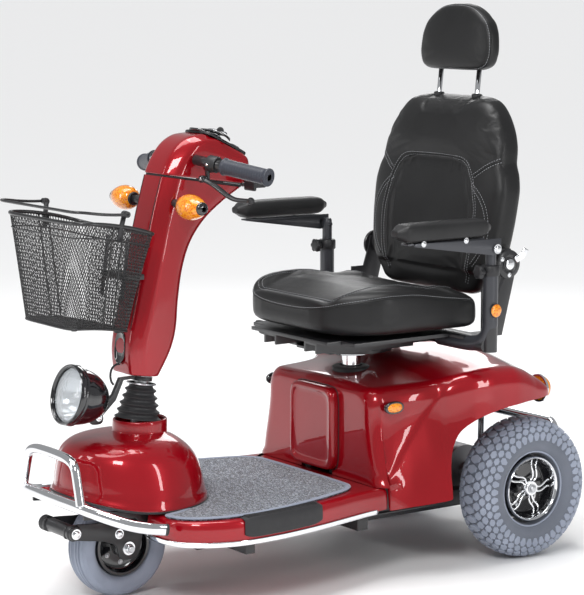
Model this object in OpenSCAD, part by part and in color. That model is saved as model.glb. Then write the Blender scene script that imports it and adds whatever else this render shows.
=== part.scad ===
// Three-wheeled mobility scooter, an assembly of separate sub-parts.
// Millimetres. +Z is up, the scooter faces -Y, its left side is +X, the floor is z = 0.

/* [Wheels] */
// Height of the rear axle, the rear tyre's radius
rear_wheel_r = 165; // [160:1:170]
// Radius of the front tyre
front_wheel_r = 113; // [110:1:116]
// Width of a rear tyre
rear_tyre_w = 104; // [96:1:108]
// Width of the front tyre
front_tyre_w = 68; // [62:1:72]
// Middle of a rear tyre from the centre line
rear_wheel_x = 253; // [251:1:255]

/* [Body] */
// Half width of the foot pan at its widest
pan_half_w = 305; // [300:1:308]
// Top of the foot pan
pan_top = 208; // [206:1:210]
// Wall of the painted shells
shell_t = 4; // [3:0.5:5]

/* [Seat] */
// Half width of the seat cushion
cushion_half_w = 246; // [236:1:250]
// Top of the seat cushion's side bolsters
cushion_top = 664; // [656:1:668]
// Distance of an armrest from the centre line
arm_x = 312; // [308:1:314]

/* [Hidden] */
$fn = 48;
rear_axle_y = 480;
front_axle_y = -469;
rake = 8;
neck = [0, -408, 430];
tiller_pivot = [0, -398, 500];
headlight_pivot = [0, -520, 402];
post_y = 170;
seat_tube_bore = 23;
recline_pivot = [0, 430, 692];
arm_pivot_y = 327;
arm_pivot_z = 742;
arm_tube_y = 315;
pin_fit = 0.06;
console_tilt = 26.57;
console_mid = [0, -207, 982];
clip = [166, -541, 846];

// ---------------------------------------------------------------- helpers

function unit(v) = v / norm(v);
function reversed(list) = [for (i = [len(list) - 1:-1:0]) list[i]];
function mirror_x(list) = [for (p = list) [-p[0], p[1]]];

// Cuts the corners of a path once, keeping its two ends.
function cut_corners(p) = concat([p[0]],
    [for (i = [0:len(p) - 2]) each [p[i] * 0.75 + p[i + 1] * 0.25, p[i] * 0.25 + p[i + 1] * 0.75]],
    [p[len(p) - 1]]);

// Moves a closed outline (x, y) sideways: outwards for an anticlockwise one when d > 0.
function edge_normal(a, b) = let (d = unit(b - a)) [d[1], -d[0]];
function offset_outline(p, d) = let (n = len(p)) [for (i = [0:n - 1])
    let (e1 = edge_normal(p[(i + n - 1) % n], p[i]), e2 = edge_normal(p[i], p[(i + 1) % n]),
        m = (e1 + e2) / (1 + e1 * e2)) p[i] + m * d];

// Interpolates a table of rows whose first column rises.
function at(table, v, col) = let (k = [for (i = [0:len(table) - 2]) if (v >= table[i][0]) i],
    i = len(k) == 0 ? 0 : k[len(k) - 1], a = table[i], b = table[i + 1],
    f = min(1, max(0, (v - a[0]) / (b[0] - a[0])))) a[col] + (b[col] - a[col]) * f;

function signed_pow(v, e) = sign(v) * pow(abs(v), e);
// A closed ring in the XY plane: a rounded rectangle as a superellipse.
function oval(a, b, e, n) = [for (i = [0:n - 1]) let (t = 360 * i / n)
    [a * signed_pow(cos(t), e), b * signed_pow(sin(t), e)]];

// Skins closed rings of equal length and caps both ends.
module loft(rings) {
    n = len(rings[0]);
    m = len(rings);
    sides = [for (j = [0:m - 2]) for (i = [0:n - 1])
        [j * n + i, j * n + (i + 1) % n, (j + 1) * n + (i + 1) % n, (j + 1) * n + i]];
    caps = [[for (i = [n - 1:-1:0]) i], [for (i = [0:n - 1]) (m - 1) * n + i]];
    polyhedron(points = [for (r = rings) each r], faces = [for (f = concat(sides, caps)) reversed(f)]);
}

// Skins closed rings whose last ring joins the first, as a wall with two skins does.
module loft_loop(rings) {
    n = len(rings[0]);
    m = len(rings);
    polyhedron(points = [for (r = rings) each r], faces = [for (j = [0:m - 1]) for (i = [0:n - 1])
        [(j + 1) % m * n + i, (j + 1) % m * n + (i + 1) % n, j * n + (i + 1) % n, j * n + i]]);
}

// A round tube along a path. side is a direction that the path never follows.
function ring_at(c, t, side, r, n) = let (u = unit(cross(t, side)), v = cross(t, u))
    [for (i = [0:n - 1]) c + r * (u * cos(360 * i / n) + v * sin(360 * i / n))];
module tube_path(path, r, side, n = 10) {
    last = len(path) - 1;
    loft([for (i = [0:last])
        ring_at(path[i], unit(path[min(i + 1, last)] - path[max(i - 1, 0)]), side, r, n)]);
}

// A straight rod between two points.
module rod(a, b, r) {
    d = b - a;
    translate(a)
        rotate([0, acos(d[2] / norm(d)), atan2(d[1], d[0])])
            cylinder(h = norm(d), r = r);
}

// A rod with round bends through the given points.
module bent_rod(points, r) {
    for (i = [0:len(points) - 2]) rod(points[i], points[i + 1], r);
    for (i = [1:len(points) - 2]) translate(points[i]) sphere(r + 0.6);
}

// A cylinder along X from x0 to x1.
module along_x(x0, x1, y, z, r) {
    translate([x0, y, z]) rotate([0, 90, 0]) cylinder(h = x1 - x0, r = r);
}
module box(low, high) {
    translate(low) cube(high - low);
}
// Repeats its children on the other side of the centre line.
module pair() {
    children();
    mirror([1, 0, 0]) children();
}
// A plate in the YZ plane, from x0 to x1, with outline points [y, z].
module side_plate(outline, x0, x1) {
    translate([x0, 0, 0]) rotate([90, 0, 90]) linear_extrude(x1 - x0) polygon(outline);
}
// Stands on the raked steering axis; children rise along it from the neck point.
module on_rake() {
    translate(neck) rotate([-rake, 0, 0]) children();
}
module on_console() {
    translate(console_mid) rotate([-console_tilt, 0, 0]) children();
}

// ---------------------------------------------------------------- chassis

rail_x = 90;
rail_low = 100;
rail_high = 138;
rail_half = 18;

module chassis_frame() color("dimgray") {
    difference() {
        union() {
            pair() box([rail_x - rail_half, -330, rail_low], [rail_x + rail_half, 575, rail_high]);
            for (y = [-330, -150, 60, 300, 545])
                box([-rail_x + rail_half, y, rail_low], [rail_x - rail_half, y + 30, rail_high]);
            pair() box([20, -342, rail_high - 30], [55, -322, 322]);
            box([-55, -342, 282], [55, -322, 322]);
            box([-26, -408, 282], [26, -330, 322]);
            box([-206, 78, rail_high], [206, 284, rail_high + 5]);
            pair() box([rail_x + rail_half, 40, 108], [200, 70, rail_high]);
            on_rake() translate([0, 0, -166]) cylinder(h = 86, r = 27);
            pair() box([rail_x + rail_half, -290, 112], [240, -266, rail_high]);
        }
        on_rake() translate([0, 0, -167]) cylinder(h = 88, r = 17);
        pair() translate([45, 560, rail_low - 1]) cylinder(h = rail_high - rail_low + 2, r = 8);
    }
}

module seat_tube() color("dimgray") {
    difference() {
        translate([0, post_y, rail_high + 5]) cylinder(h = 262, r = 28);
        translate([0, post_y, rail_high + 4]) cylinder(h = 264, r = seat_tube_bore);
    }
}

// Half outline of the foot pan seen from above, from the wheel well back to the body.
pan_half = [[122, -470], [205, -470], [250, -450], [pan_half_w - 23, -405], [pan_half_w - 4, -350],
    [pan_half_w, -300], [pan_half_w - 4, -225], [pan_half_w - 19, -130], [267, -48], [248, 30],
    [243, 66]];
function pan_outline(d) = let (whole = concat([[0, -336], [122, -336]], pan_half,
    reversed(mirror_x(pan_half)), [[-122, -336]])) offset_outline(whole, d);

module floor_pan() color("firebrick") {
    difference() {
        translate([0, 0, 160]) linear_extrude(pan_top - 160) polygon(pan_outline(0));
        translate([0, 0, 159]) linear_extrude(pan_top - 164) polygon(pan_outline(-shell_t));
        pair() box([17, -345, 159], [58, -319, pan_top + 1]);
    }
}

mat_half = [[0, -300], [60, -310], [120, -345], [172, -400], [186, -462], [225, -452], [252, -425],
    [272, -380], [282, -320], [276, -230], [256, -130], [232, -50], [214, 0], [190, 26], [160, 35],
    [0, 35]];
module floor_mat() color("slategray") {
    translate([0, 0, pan_top]) linear_extrude(5) polygon(concat(mat_half,
        [for (i = [len(mat_half) - 2:-1:1]) [-mat_half[i][0], mat_half[i][1]]]));
}

module side_step_pads() color("black") intersection() {
    union() {
        difference() {
            translate([0, 0, 168]) linear_extrude(46) polygon(pan_outline(4.8));
            translate([0, 0, 167]) linear_extrude(48) polygon(pan_outline(0));
        }
        difference() {
            translate([0, 0, pan_top]) linear_extrude(214 - pan_top) polygon(pan_outline(0.5));
            translate([0, 0, pan_top - 1]) linear_extrude(8) polygon(pan_outline(-19));
        }
    }
    pair() box([200, -335, 160], [340, -120, 220]);
}

module edge_trim() color("silver") {
    difference() {
        translate([0, 0, 153]) linear_extrude(11) polygon(pan_outline(3));
        translate([0, 0, 152]) linear_extrude(13) polygon(pan_outline(0.2));
        box([-121, -500, 150], [121, -300, 170]);
        box([-300, 60, 150], [300, 90, 170]);
    }
}

// Dome over the front wheel. Each row: height, radius, middle's y.
cowl_rows = [[214, 172, -437], [240, 167, -437], [275, 161, -440], [305, 153, -443],
    [330, 139, -449], [345, 122, -452], [354, 104, -450], [359, 84, -438], [361, 63, -410],
    [384, 61, -408], [388, 57, -408]];
function cowl_ring(k, t) = let (row = cowl_rows[k], r = row[1] - t, n = 48) [for (i = [0:n - 1])
    let (a = 360 * i / n, x = r * sin(a), y = row[2] - r * cos(a), front = max(0, cos(a)),
        lift = k == 0 ? 30 * front * front : (k == 1 ? 16 * front * front : 0))
    [x, y, row[0] + lift - (k == 0 ? 0 : t * k / len(cowl_rows))]];
module cowl_shell() {
    n = len(cowl_rows) - 1;
    loft_loop(concat([for (k = [0:n]) cowl_ring(k, 0)], [for (k = [n:-1:0]) cowl_ring(k, shell_t)]));
}
module front_cowl() color("firebrick") {
    cowl_shell();
}

bumper_r = 13;
module front_bumper() color("silver") {
    lower = cut_corners(cut_corners([[-238, -486, 194], [-215, -550, 205], [-130, -628, 236],
        [0, -632, 238], [130, -628, 236], [215, -550, 205], [238, -486, 194]]));
    tube_path(lower, bumper_r, [0, 0.2, 1], 12);
    hoop = cut_corners(cut_corners([[-122, -631, 252], [-112, -630, 290], [-92, -628, 334],
        [92, -628, 334], [112, -630, 290], [122, -631, 252]]));
    tube_path(hoop, 11, [0, 1, 0], 12);
    pair() side_plate([[-616, 224], [-480, 214], [-400, 160], [-330, 150], [-330, 118], [-410, 128],
        [-490, 196], [-616, 208]], rail_x + rail_half, rail_x + rail_half + 6);
}

// Rear body. Each row: y, half width at the edge, half width at the shoulder,
// height of the edge, height of the shoulder top, crown height, size of the arc.
body_rows = [
    [71, 236, 206, 210, 424, 424, 0.28],
    [70, 236, 206, 210, 424, 424, 0.6],
    [70, 236, 206, 210, 424, 424, 0.86],
    [73, 236, 206, 210, 424, 424, 0.94],
    [82, 238, 210, 210, 426, 428, 0.985],
    [96, 243, 214, 210, 428, 432, 1],
    [98, 244, 214, 156, 428, 432, 1],
    [150, 262, 219, 160, 430, 438, 1],
    [200, 288, 230, 167, 432, 446, 1],
    [234, 305, 246, 173, 436, 454, 1],
    [240, 311, 252, 235, 438, 456, 1],
    [250, 317, 262, 282, 441, 460, 1],
    [272, 321, 278, 324, 448, 468, 1],
    [310, 322, 294, 351, 456, 478, 1],
    [360, 323, 304, 366, 462, 487, 1],
    [415, 323, 304, 373, 460, 490, 1],
    [460, 322, 298, 376, 448, 481, 1],
    [505, 318, 288, 377, 425, 455, 1],
    [535, 312, 280, 378, 404, 424, 1],
    [548, 304, 272, 380, 392, 404, 0.97],
    [552, 296, 262, 380, 390, 398, 0.5],
    [551, 296, 262, 380, 390, 398, 0.3]];

function body_half(row, t) = let (wb = row[1] - t, ws = row[2] - t, zb = row[3], zs = row[4] - t,
    zc = row[5] - t, rc = min(34, (zs - zb) * 0.6))
    concat([for (f = [0, 0.33, 0.66]) [wb + (ws + rc * 0.3 - wb) * f * f, zb + (zs - rc - zb) * f]],
        [for (a = [0:22.5:90])
            [ws - rc + rc * 1.3 * cos(a) - 0.3 * rc * sin(a) * cos(a), zs - rc + rc * sin(a)]],
        [for (f = [0.35, 0.7, 1]) [(ws - rc) * (1 - f), zs + (zc - zs) * sin(90 * f)]]);
function body_arc(row, t) = let (half = body_half(row, t),
    arc = concat(half, [for (i = [len(half) - 2:-1:0]) [-half[i][0], half[i][1]]]),
    s = row[6], y = row[0], yy = y < 75 ? y + t : (y > 540 ? y - t : y))
    [for (p = arc) [p[0] * s, yy, row[3] + (p[1] - row[3]) * s]];
// A curved sheet with an outer and an inner grid of points.
module sheet(outer, inner) {
    n = len(outer[0]);
    m = len(outer);
    k = n * m;
    quads = [for (j = [0:m - 2]) for (i = [0:n - 2])
        [j * n + i, j * n + i + 1, (j + 1) * n + i + 1, (j + 1) * n + i]];
    rim = concat([for (i = [0:n - 2]) [i + 1, i]], [for (j = [0:m - 2]) [j * n, (j + 1) * n]],
        [for (i = [0:n - 2]) [(m - 1) * n + i, (m - 1) * n + i + 1]],
        [for (j = [0:m - 2]) [(j + 2) * n - 1, (j + 1) * n - 1]]);
    polyhedron(points = concat([for (r = outer) each r], [for (r = inner) each r]),
        faces = concat([for (q = quads) q], [for (q = quads) [for (i = reversed(q)) i + k]],
            [for (e = rim) [e[0], e[1], e[1] + k, e[0] + k]]));
}
module rear_body() color("firebrick") difference() {
    sheet([for (row = body_rows) body_arc(row, 0)], [for (row = body_rows) body_arc(row, shell_t)]);
    translate([0, post_y, 400]) cylinder(h = 80, r = 32, $fn = 12);
}

module battery_cover() color("firebrick") {
    loft([for (f = [[50, 8], [52, 3], [56, 0], [69, 0]]) let (d = f[1]) [for (p = oval(84 - d, 97 - d,
        0.28, 32))
        [p[0], f[0], 318 + p[1]]]]);
}

module side_markers() color("orange") {
    pair() translate([233, 116, 388]) rotate([0, 90, 0]) cylinder(h = 10, r = 15);
}

module rear_lamps() color("orange") {
    pair() translate([225, 554, 386]) rotate([-90, 0, 0]) cylinder(h = 26, r1 = 30, r2 = 20);
}

module rear_bumper() color("silver") {
    tube_path(cut_corners(cut_corners([[-182, 644, 232], [-176, 648, 272], [-150, 649, 284],
        [150, 649, 284], [176, 648, 272], [182, 644, 232]])), 12, [0, 1, 0.1], 12);
    pair() tube_path(cut_corners([[rail_x, 578, 119], [rail_x, 620, 122], [rail_x, 646, 160],
        [rail_x, 648, 271]]), 11, [1, 0, 0], 10);
}

module transaxle() color("gray") {
    difference() {
        union() {
            along_x(-46, 46, rear_axle_y, rear_wheel_r, 62);
            along_x(-186, 186, rear_axle_y, rear_wheel_r, 21);
            pair() along_x(150, 186, rear_axle_y, rear_wheel_r, 30);
        }
        pair() along_x(40, 187, rear_axle_y, rear_wheel_r, 11);
    }
    pair() box([rail_x - 14, rear_axle_y - 14, rail_high], [rail_x + 14, rear_axle_y + 14,
        rear_wheel_r - 20.5]);
}

module drive_motor() color("silver") {
    translate([0, 296, 190]) rotate([-90, 0, 0]) cylinder(h = 106, r = 44);
    translate([0, 402, 190]) rotate([-90, 0, 0]) cylinder(h = 14, r = 36);
}

module batteries() color("darkslategray") {
    pair() {
        box([36, 80, rail_high + 5], [201, 277, rail_high + 165]);
        translate([60, 120, rail_high + 165]) cylinder(h = 12, r = 9);
        translate([170, 120, rail_high + 165]) cylinder(h = 12, r = 9);
    }
}

// ---------------------------------------------------------------- wheels

// Section of a tyre: radius against width, inner radius r0, outer radius r1.
module tyre(r0, r1, w) {
    h = (r1 - r0) / 2;
    rotate([0, 90, 0]) rotate_extrude($fn = 96) polygon([for (p = oval(h, w / 2, 0.72, 28))
        [r0 + h + p[0], p[1]]]);
}

rear_rim_r = 76;
module rear_tyre() color("lightsteelblue") translate([rear_wheel_x, rear_axle_y, rear_wheel_r])
    tyre(rear_rim_r, rear_wheel_r, rear_tyre_w);

// Rim with its dish, hub, spokes and drive shaft. The outer side is +X.
module rear_rim() color("gainsboro") translate([rear_wheel_x, rear_axle_y, rear_wheel_r])
rotate([0, 90, 0]) {
    half = rear_tyre_w / 2 - 14;
    rotate_extrude($fn = 72) polygon([[0, -half - 12], [24, -half - 12], [24, -half], [60, -half],
        [70, -half - 6], [rear_rim_r - 1, -half - 6], [rear_rim_r - 1, half + 8], [68, half + 8],
        [63, half], [63, 8], [55, 2], [0, 2]]);
    rotate_extrude($fn = 72) polygon([[rear_rim_r - 1, half - 30], [rear_rim_r, half - 30],
        [rear_rim_r, 12 - half], [rear_rim_r - 1, 12 - half]]);
    translate([0, 0, 2]) cylinder(h = half + 4, r1 = 22, r2 = 17);
    for (a = [0:36:324]) rotate(a) box([17, -3, 24], [62.5, 3, 32]);
    translate([0, 0, half + 6]) cylinder(h = 7, r = 10);
    translate([0, 0, -half - 12 - 140]) cylinder(h = 141, r = 10);
}

module front_tyre() color("lightsteelblue") translate([0, front_axle_y, front_wheel_r])
    tyre(66, front_wheel_r, front_tyre_w);

module front_rim() color("black") translate([0, front_axle_y, front_wheel_r]) rotate([0, 90,
    0]) difference() {
    rotate_extrude($fn = 72) polygon([[0, -36], [24, -36], [24, -12], [54, -12], [57, -27], [65.5, -27],
        [65.5, -20], [66, -20], [66, 20], [65.5, 20], [65.5, 27], [57, 27], [54, 12], [24, 12], [24,
            36], [0, 36]]);
    translate([0, 0, -40]) cylinder(h = 80, r = 8 + pin_fit);
}

// ---------------------------------------------------------------- steering

module steering_stem() color("darkgray") {
    on_rake() translate([0, 0, -176]) cylinder(h = 226, r = 15);
    difference() {
        union() {
            along_x(-12, 12, tiller_pivot[1], tiller_pivot[2], 14);
            box([-12, -410, 476], [12, -392, 494]);
        }
        along_x(-13, 13, tiller_pivot[1], tiller_pivot[2], 6 + pin_fit);
        on_rake() translate([0, 0, -176]) cylinder(h = 226, r = 15);
    }
}

fork_x = 42;
fork_t = 6;
module front_fork() color("black") {
    difference() {
        union() {
            pair() side_plate([[-498, 252], [-503, 175], [-624, 184], [-628, 152], [-500, 132], [-494, 92],
                [-448, 88], [-436, 118], [-412, 252]], fork_x, fork_x + fork_t);
            box([-fork_x, -498, 240], [fork_x, -412, 252]);
            along_x(-fork_x, fork_x, -610, 168, 15);
            pair() along_x(fork_x + fork_t, fork_x + fork_t + 20, -610, 168, 17);
        }
        along_x(-fork_x - 10, fork_x + 10, front_axle_y, front_wheel_r, 8);
    }
}

module fork_bolts() color("silver") {
    along_x(-fork_x - 16, fork_x + 16, front_axle_y, front_wheel_r, 8);
    pair() along_x(fork_x + fork_t, fork_x + fork_t + 7, front_axle_y, front_wheel_r, 13);
    pair() along_x(fork_x + fork_t + 20, fork_x + fork_t + 25, -610, 168, 10);
    pair() along_x(fork_x + fork_t, fork_x + fork_t + 6, -492, 148, 10);
}

module headlight_bracket() color("black") difference() {
    union() {
        on_rake() translate([0, 0, 41]) cylinder(h = 9, r = 23);
        side_plate([[-416, 483], [-460, 482], [-478, 447], [-514, 411], [-522, 398], [-514, 395],
            [-471, 434],
            [-451, 476], [-416, 477]], -5, 5);
        along_x(-9, 9, headlight_pivot[1], headlight_pivot[2], 9);
    }
    on_rake() translate([0, 0, 30]) cylinder(h = 30, r = 15 + pin_fit);
    along_x(-10, 10, headlight_pivot[1], headlight_pivot[2], 5 + pin_fit);
}

cable_route = [[0, -458, 512], [0, -468, 512], [0, -478, 504], [0, -482, 490], [0, -480, 476], [0,
    -474, 468]];
module headlight_cable() color("black") {
    tube_path(cut_corners(cable_route), 2.5, [1, 0, 0], 8);
}

// Bellows round the stem: a zigzag wall that narrows upwards.
module steering_boot() color("black") on_rake() rotate_extrude($fn = 64) {
    low = -39;
    high = 36;
    folds = 5;
    outer = [for (i = [0:2 * folds]) let (f = i / (2 * folds))
        [50 - 21 * f - (i % 2 == 1 ? 6 : 0), low + (high - low) * f]];
    polygon(concat(outer, [for (p = reversed(outer)) [p[0] - 4, p[1]]]));
}

// ---------------------------------------------------------------- headlight

headlight_tilt = 14;
lens_mid = [0, -584, 457];
module on_headlight() {
    translate(lens_mid) rotate([-90 + headlight_tilt, 0, 0]) mirror([0, 0, 1]) children();
}
module headlight_housing() color("black") {
    on_headlight() rotate_extrude($fn = 64) polygon([[59.5, 4], [66, 4], [66, -6], [63, -12], [60,
        -34], [51, -58],
        [38, -76], [20, -88], [0, -92], [0, -88], [18, -84], [35, -72], [47, -56], [56, -33], [59.5, -8]]);
    pair() side_plate([[-540, 403], [-540, 388], [-512, 388], [-508, 403], [-520, 416], [-530, 416]],
        10.5, 15);
    along_x(-18, 18, headlight_pivot[1], headlight_pivot[2], 5);
}
module headlight_lens() color("lightyellow") on_headlight() rotate_extrude($fn = 64)
    polygon([[0, 12], [30, 9], [50, 3], [59, -2], [59, -6], [50, -1], [30, 5], [0, 8]]);

// ---------------------------------------------------------------- tiller

module tiller_frame() color("dimgray") {
    along_x(-22, 22, tiller_pivot[1], tiller_pivot[2], 6);
    pair() difference() {
        hull() {
            along_x(14, 21, tiller_pivot[1], tiller_pivot[2], 13);
            box([14, -408, 540], [21, -380, 550]);
        }
        along_x(13, 22, tiller_pivot[1], tiller_pivot[2], 6);
    }
    box([-21, -408, 550], [21, -380, 560]);
    rod([0, -392, 560], [0, -344, 850], 16);
    box([-50, -352, 850], [50, -332, 862]);
}

// Rows of the tiller's side view: front (y, z), rear (y, z) and half width.
column_rows = [[-453, 492, -381, 484, 54], [-457, 540, -352, 536, 56], [-450, 590, -337, 583, 57],
    [-434, 660, -331, 649, 58], [-418, 730, -320, 714, 58], [-403, 795, -299, 771, 58],
    [-389, 850, -263, 819, 59], [-377, 893, -213, 858, 60], [-369, 919, -168, 886, 61]];
head_rows = [[-368, 922, -160, 893, 61], [-352, 955, -148, 914, 62], [-327, 985, -147, 934, 62],
    [-297, 1002, -149, 946, 60], [-264, 1006, -153, 951, 56]];
function tiller_ring(row, t) = let (f = [0, row[0], row[1]], r = [0, row[2], row[3]], d = unit(r - f),
    span = norm(r - f), w = row[4] - t, half = [[0, t], [32, t], [46, t + 9], [w, 28], [w, span * 0.5],
        [w, span - 26], [w - 8, span - 9 - t / 2], [w - 26, span - t], [0, span - t]])
    [for (q = concat(half, [for (i = [len(half) - 2:-1:1]) [-half[i][0], half[i][1]]]))
        f + d * q[1] + [q[0], 0, 0]];
module tiller_shell(rows) {
    loft_loop(concat([for (row = rows) tiller_ring(row, 0)],
        [for (row = reversed(rows)) tiller_ring(row, shell_t)]));
}
module tiller_cover() color("firebrick") tiller_shell(column_rows);
module console_head() color("firebrick") tiller_shell(head_rows);

module console_panel() color("black") {
    on_console() difference() {
        translate([0, 0, -1]) linear_extrude(5) polygon(oval(54, 60, 0.35, 40));
        translate([0, -6, -2]) cylinder(h = 8, r = 7);
        translate([36, -22, -2]) cylinder(h = 8, r = 5);
    }
    on_console() translate([-15, -66, 4.2]) cube([30, 34, 9]);
    on_console() for (x = [-38, 24]) translate([x, 18, 4.2]) cube([14, 20, 5]);
}
module speed_dial() color("dimgray") on_console() {
    translate([0, -6, 5]) cylinder(h = 11, r = 13);
    translate([0, -6, -8]) cylinder(h = 13, r = 6);
}
module ignition_key() color("silver") on_console() {
    translate([36, -22, -8]) cylinder(h = 14, r = 4);
    translate([34.5, -29, 6]) cube([3, 14, 24]);
}

grip_in = [139, -276, 942];
grip_out = [251, -235, 924];
grip_dir = (grip_out - grip_in) / norm(grip_out - grip_in);
signal_mid = [138, -358, 859];
module handlebar() color("black") {
    handlebar_side();
    mirror([1, 0, 0]) handlebar_side();
    lever_brackets();
}
module handlebar_side() {
    rod(grip_in - grip_dir * 78, grip_in, 11);
    along_x(63.5, 97, signal_mid[1], signal_mid[2], 9);
    rod(grip_in - grip_dir * 40, grip_in - grip_dir * 16, 17);
}
// What the brake lever and the thumb lever turn on.
brake_pivot = [100, -306, 914];
throttle_pivot = [0, -132, 893];
module lever_brackets() color("black") {
    box([brake_pivot[0] - 6, -296, 906], [brake_pivot[0] + 6, -290, 950]);
    translate([brake_pivot[0], -318, brake_pivot[2]]) rotate([-90, 0, 0]) cylinder(h = 26, r = 4);
    box([-9, -148.4, 908], [9, -122, 913]);
    translate([0, throttle_pivot[1], 880]) cylinder(h = 30, r = 4);
}
module handlebar_grips() color("dimgray") pair() {
    rod(grip_in, grip_out, 17);
    rod(grip_out - grip_dir * 4, grip_out, 19.5);
}
module turn_signals() color("orange") pair() translate(signal_mid) rotate([0, 90, 0])
    rotate_extrude() polygon([[0, -41], [14, -41], [22, -34], [27, -20], [28, -5], [25, 14], [20, 30],
        [14, 42],
        [0, 47]]);
module charger_socket() color("black") along_x(63.2, 71, -262, 938, 14);

module throttle_lever() color("black") difference() {
    union() {
        translate([0, throttle_pivot[1], 882]) cylinder(h = 22, r = 9);
        box([-84, -136, 884], [84, -128, 902]);
        pair() {
            box([76, -176, 884], [84, -136, 902]);
            box([76, -184, 882], [118, -176, 904]);
        }
    }
    translate([0, throttle_pivot[1], 881]) cylinder(h = 24, r = 4 + pin_fit);
}
module brake_lever() color("darkslategray") difference() {
    union() {
        translate([brake_pivot[0], -314, brake_pivot[2]]) rotate([-90, 0, 0]) cylinder(h = 16, r = 8);
        bent_rod([brake_pivot, [132, -290, 898], [168, -270, 874], [206, -252, 872]], 6);
        translate([206, -252, 872]) sphere(8);
    }
    translate([brake_pivot[0], -315, brake_pivot[2]]) rotate([-90, 0, 0]) cylinder(h = 18, r = 4 + pin_fit);
}

// ---------------------------------------------------------------- basket

// Rows: height at the front, at the rear, half width, front y, rear y.
basket_rows = [[616, 598, 108, -640, -490], [690, 672, 124, -644, -478], [770, 742, 143, -648, -464],
    [842, 806, 160, -652, -450]];
function basket_ring(k, t) = let (row = basket_rows[k], a = row[2] - t, front = row[3] + t,
    rear = row[4] - t,
    mid = (front + rear) / 2, b = (rear - front) / 2) [for (p = oval(a, b, 0.3, 32))
        let (y = mid + p[1], f = (y - front) / (rear - front)) [p[0], y,
            row[0] + (row[1] - row[0]) * f * f]];
module basket() color("black") {
    loft(concat([for (k = [0:3]) basket_ring(k, 0)], [for (k = [3:-1:1]) basket_ring(k, 2.5)],
        [[for (p = basket_ring(0, 2.5)) p + [0, 0, 2.5]]]));
    pair() along_x(clip[0] - 3, clip[0] + 7, clip[1], clip[2] + 12, 7);
    side_plate([[-471, 700], [-468.6, 712], [-426, 712], [-428, 700]], -55, 55);
}
module basket_handle() color("black") {
    tube_path(cut_corners(cut_corners([[clip[0] + 12, clip[1], clip[2] + 12], [clip[0] + 10, -600,
        clip[2] + 16],
        [clip[0] - 2, -658, clip[2] + 22], [-clip[0] + 2, -658, clip[2] + 22], [-clip[0] - 10, -600,
            clip[2] + 16],
        [-clip[0] - 12, clip[1], clip[2] + 12]])), 3.5, [0, 0.1, 1], 8);
}

// ---------------------------------------------------------------- seat

module seat_post() color("silver") {
    translate([0, post_y, 200]) cylinder(h = 282, r = 22);
    translate([0, post_y, 478]) cylinder(h = 8, r = 58);
}

rail_mid = 80;
module swivel_plate() color("black") {
    translate([0, post_y, 487]) cylinder(h = 8, r = 95);
    pair() {
        box([rail_mid - 14, 60, 495], [rail_mid + 14, 280, 518]);
        box([0, 60, 491], [rail_mid - 14, 90, 497]);
    }
}

module seat_base() color("dimgray") {
    pair() difference() {
        box([rail_mid - 25, -5, 504], [rail_mid + 25, 345, 528]);
        box([rail_mid - 18, -6, 503], [rail_mid + 18, 346, 522]);
    }
    box([-200, 30, 528], [200, 350, 536]);
    box([-150, -10, 528], [150, 30, 536]);
    box([lever_pin[0] - 8, 121, 505], [-105, 125, 528]);
    translate([lever_pin[0], 94, lever_pin[1]]) rotate([-90, 0, 0]) cylinder(h = 30, r = 3.5);
    pair() difference() {
        union() {
            rod([rail_mid + 25, arm_tube_y, 519], [arm_x, arm_tube_y, 519], 13);
            translate([arm_x, arm_tube_y + 12, 506]) cylinder(h = 190, r = 17);
            box([246, 355, 528], [251, 415, 640]);
            side_plate([[355, 528], [415, 528], [455, 680], [450, 712], [412, 712], [405, 680]], 246, 251);
            box([200, 300, 528], [251, 350, 536]);
            box([200, 345, 528], [251, 415, 533]);
        }
        translate([arm_x, arm_tube_y + 12, 532]) cylinder(h = 170, r = 13);
        along_x(245, 252, recline_pivot[1], recline_pivot[2], 8 + pin_fit);
    }
}

// Seat cushion: rings across the seat, front to rear.
cushion_rows = [[-24, 100, 566, 622], [-17, 138, 556, 638], [2, 172, 546, 648], [30, 205, 542, 656],
    [66, 230, 541, 661], [110, cushion_half_w - 2, 540, 664], [160, cushion_half_w, 540, 663],
    [250, cushion_half_w, 540, 646], [330, 240, 540, 624], [356, 228, 545, 612], [364, 205, 556, 598]];
function cushion_ring(row) = let (w = row[1], lift = cushion_top - 664, z0 = row[2] + lift,
    z1 = row[3] + lift, b = 16)
    [for (p = [[-w + b, z0], [w - b, z0], [w, z0 + b], [w, z1 - b * 1.4], [w - b, z1], [w - 50, z1 + 2],
        [w - 76, z1 - 14], [0, z1 - 17], [76 - w, z1 - 14], [50 - w, z1 + 2], [b - w, z1], [-w,
            z1 - b * 1.4],
        [-w, z0 + b]]) [p[0], row[0], p[1]]];
module seat_cushion() color("black") loft([for (row = reversed(cushion_rows)) cushion_ring(row)]);

// Height and x of the pin that the release lever turns on.
lever_pin = [-114, 512];
module seat_levers() color("black") difference() {
    union() {
        translate([lever_pin[0], 97, lever_pin[1]]) rotate([-90, 0, 0]) cylinder(h = 20, r = 7);
        rod([lever_pin[0], 107, lever_pin[1]], [-262, 107, 514], 5);
        rod([-256, 107, 514], [-300, 107, 515], 9);
        rod([-262, 107, 514], [-262, 98, 501], 4);
        rod([-270, 98, 501], [-224, 92, 501], 8);
    }
    translate([lever_pin[0], 96, lever_pin[1]]) rotate([-90, 0, 0]) cylinder(h = 22, r = 3.5 + pin_fit);
}

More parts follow.
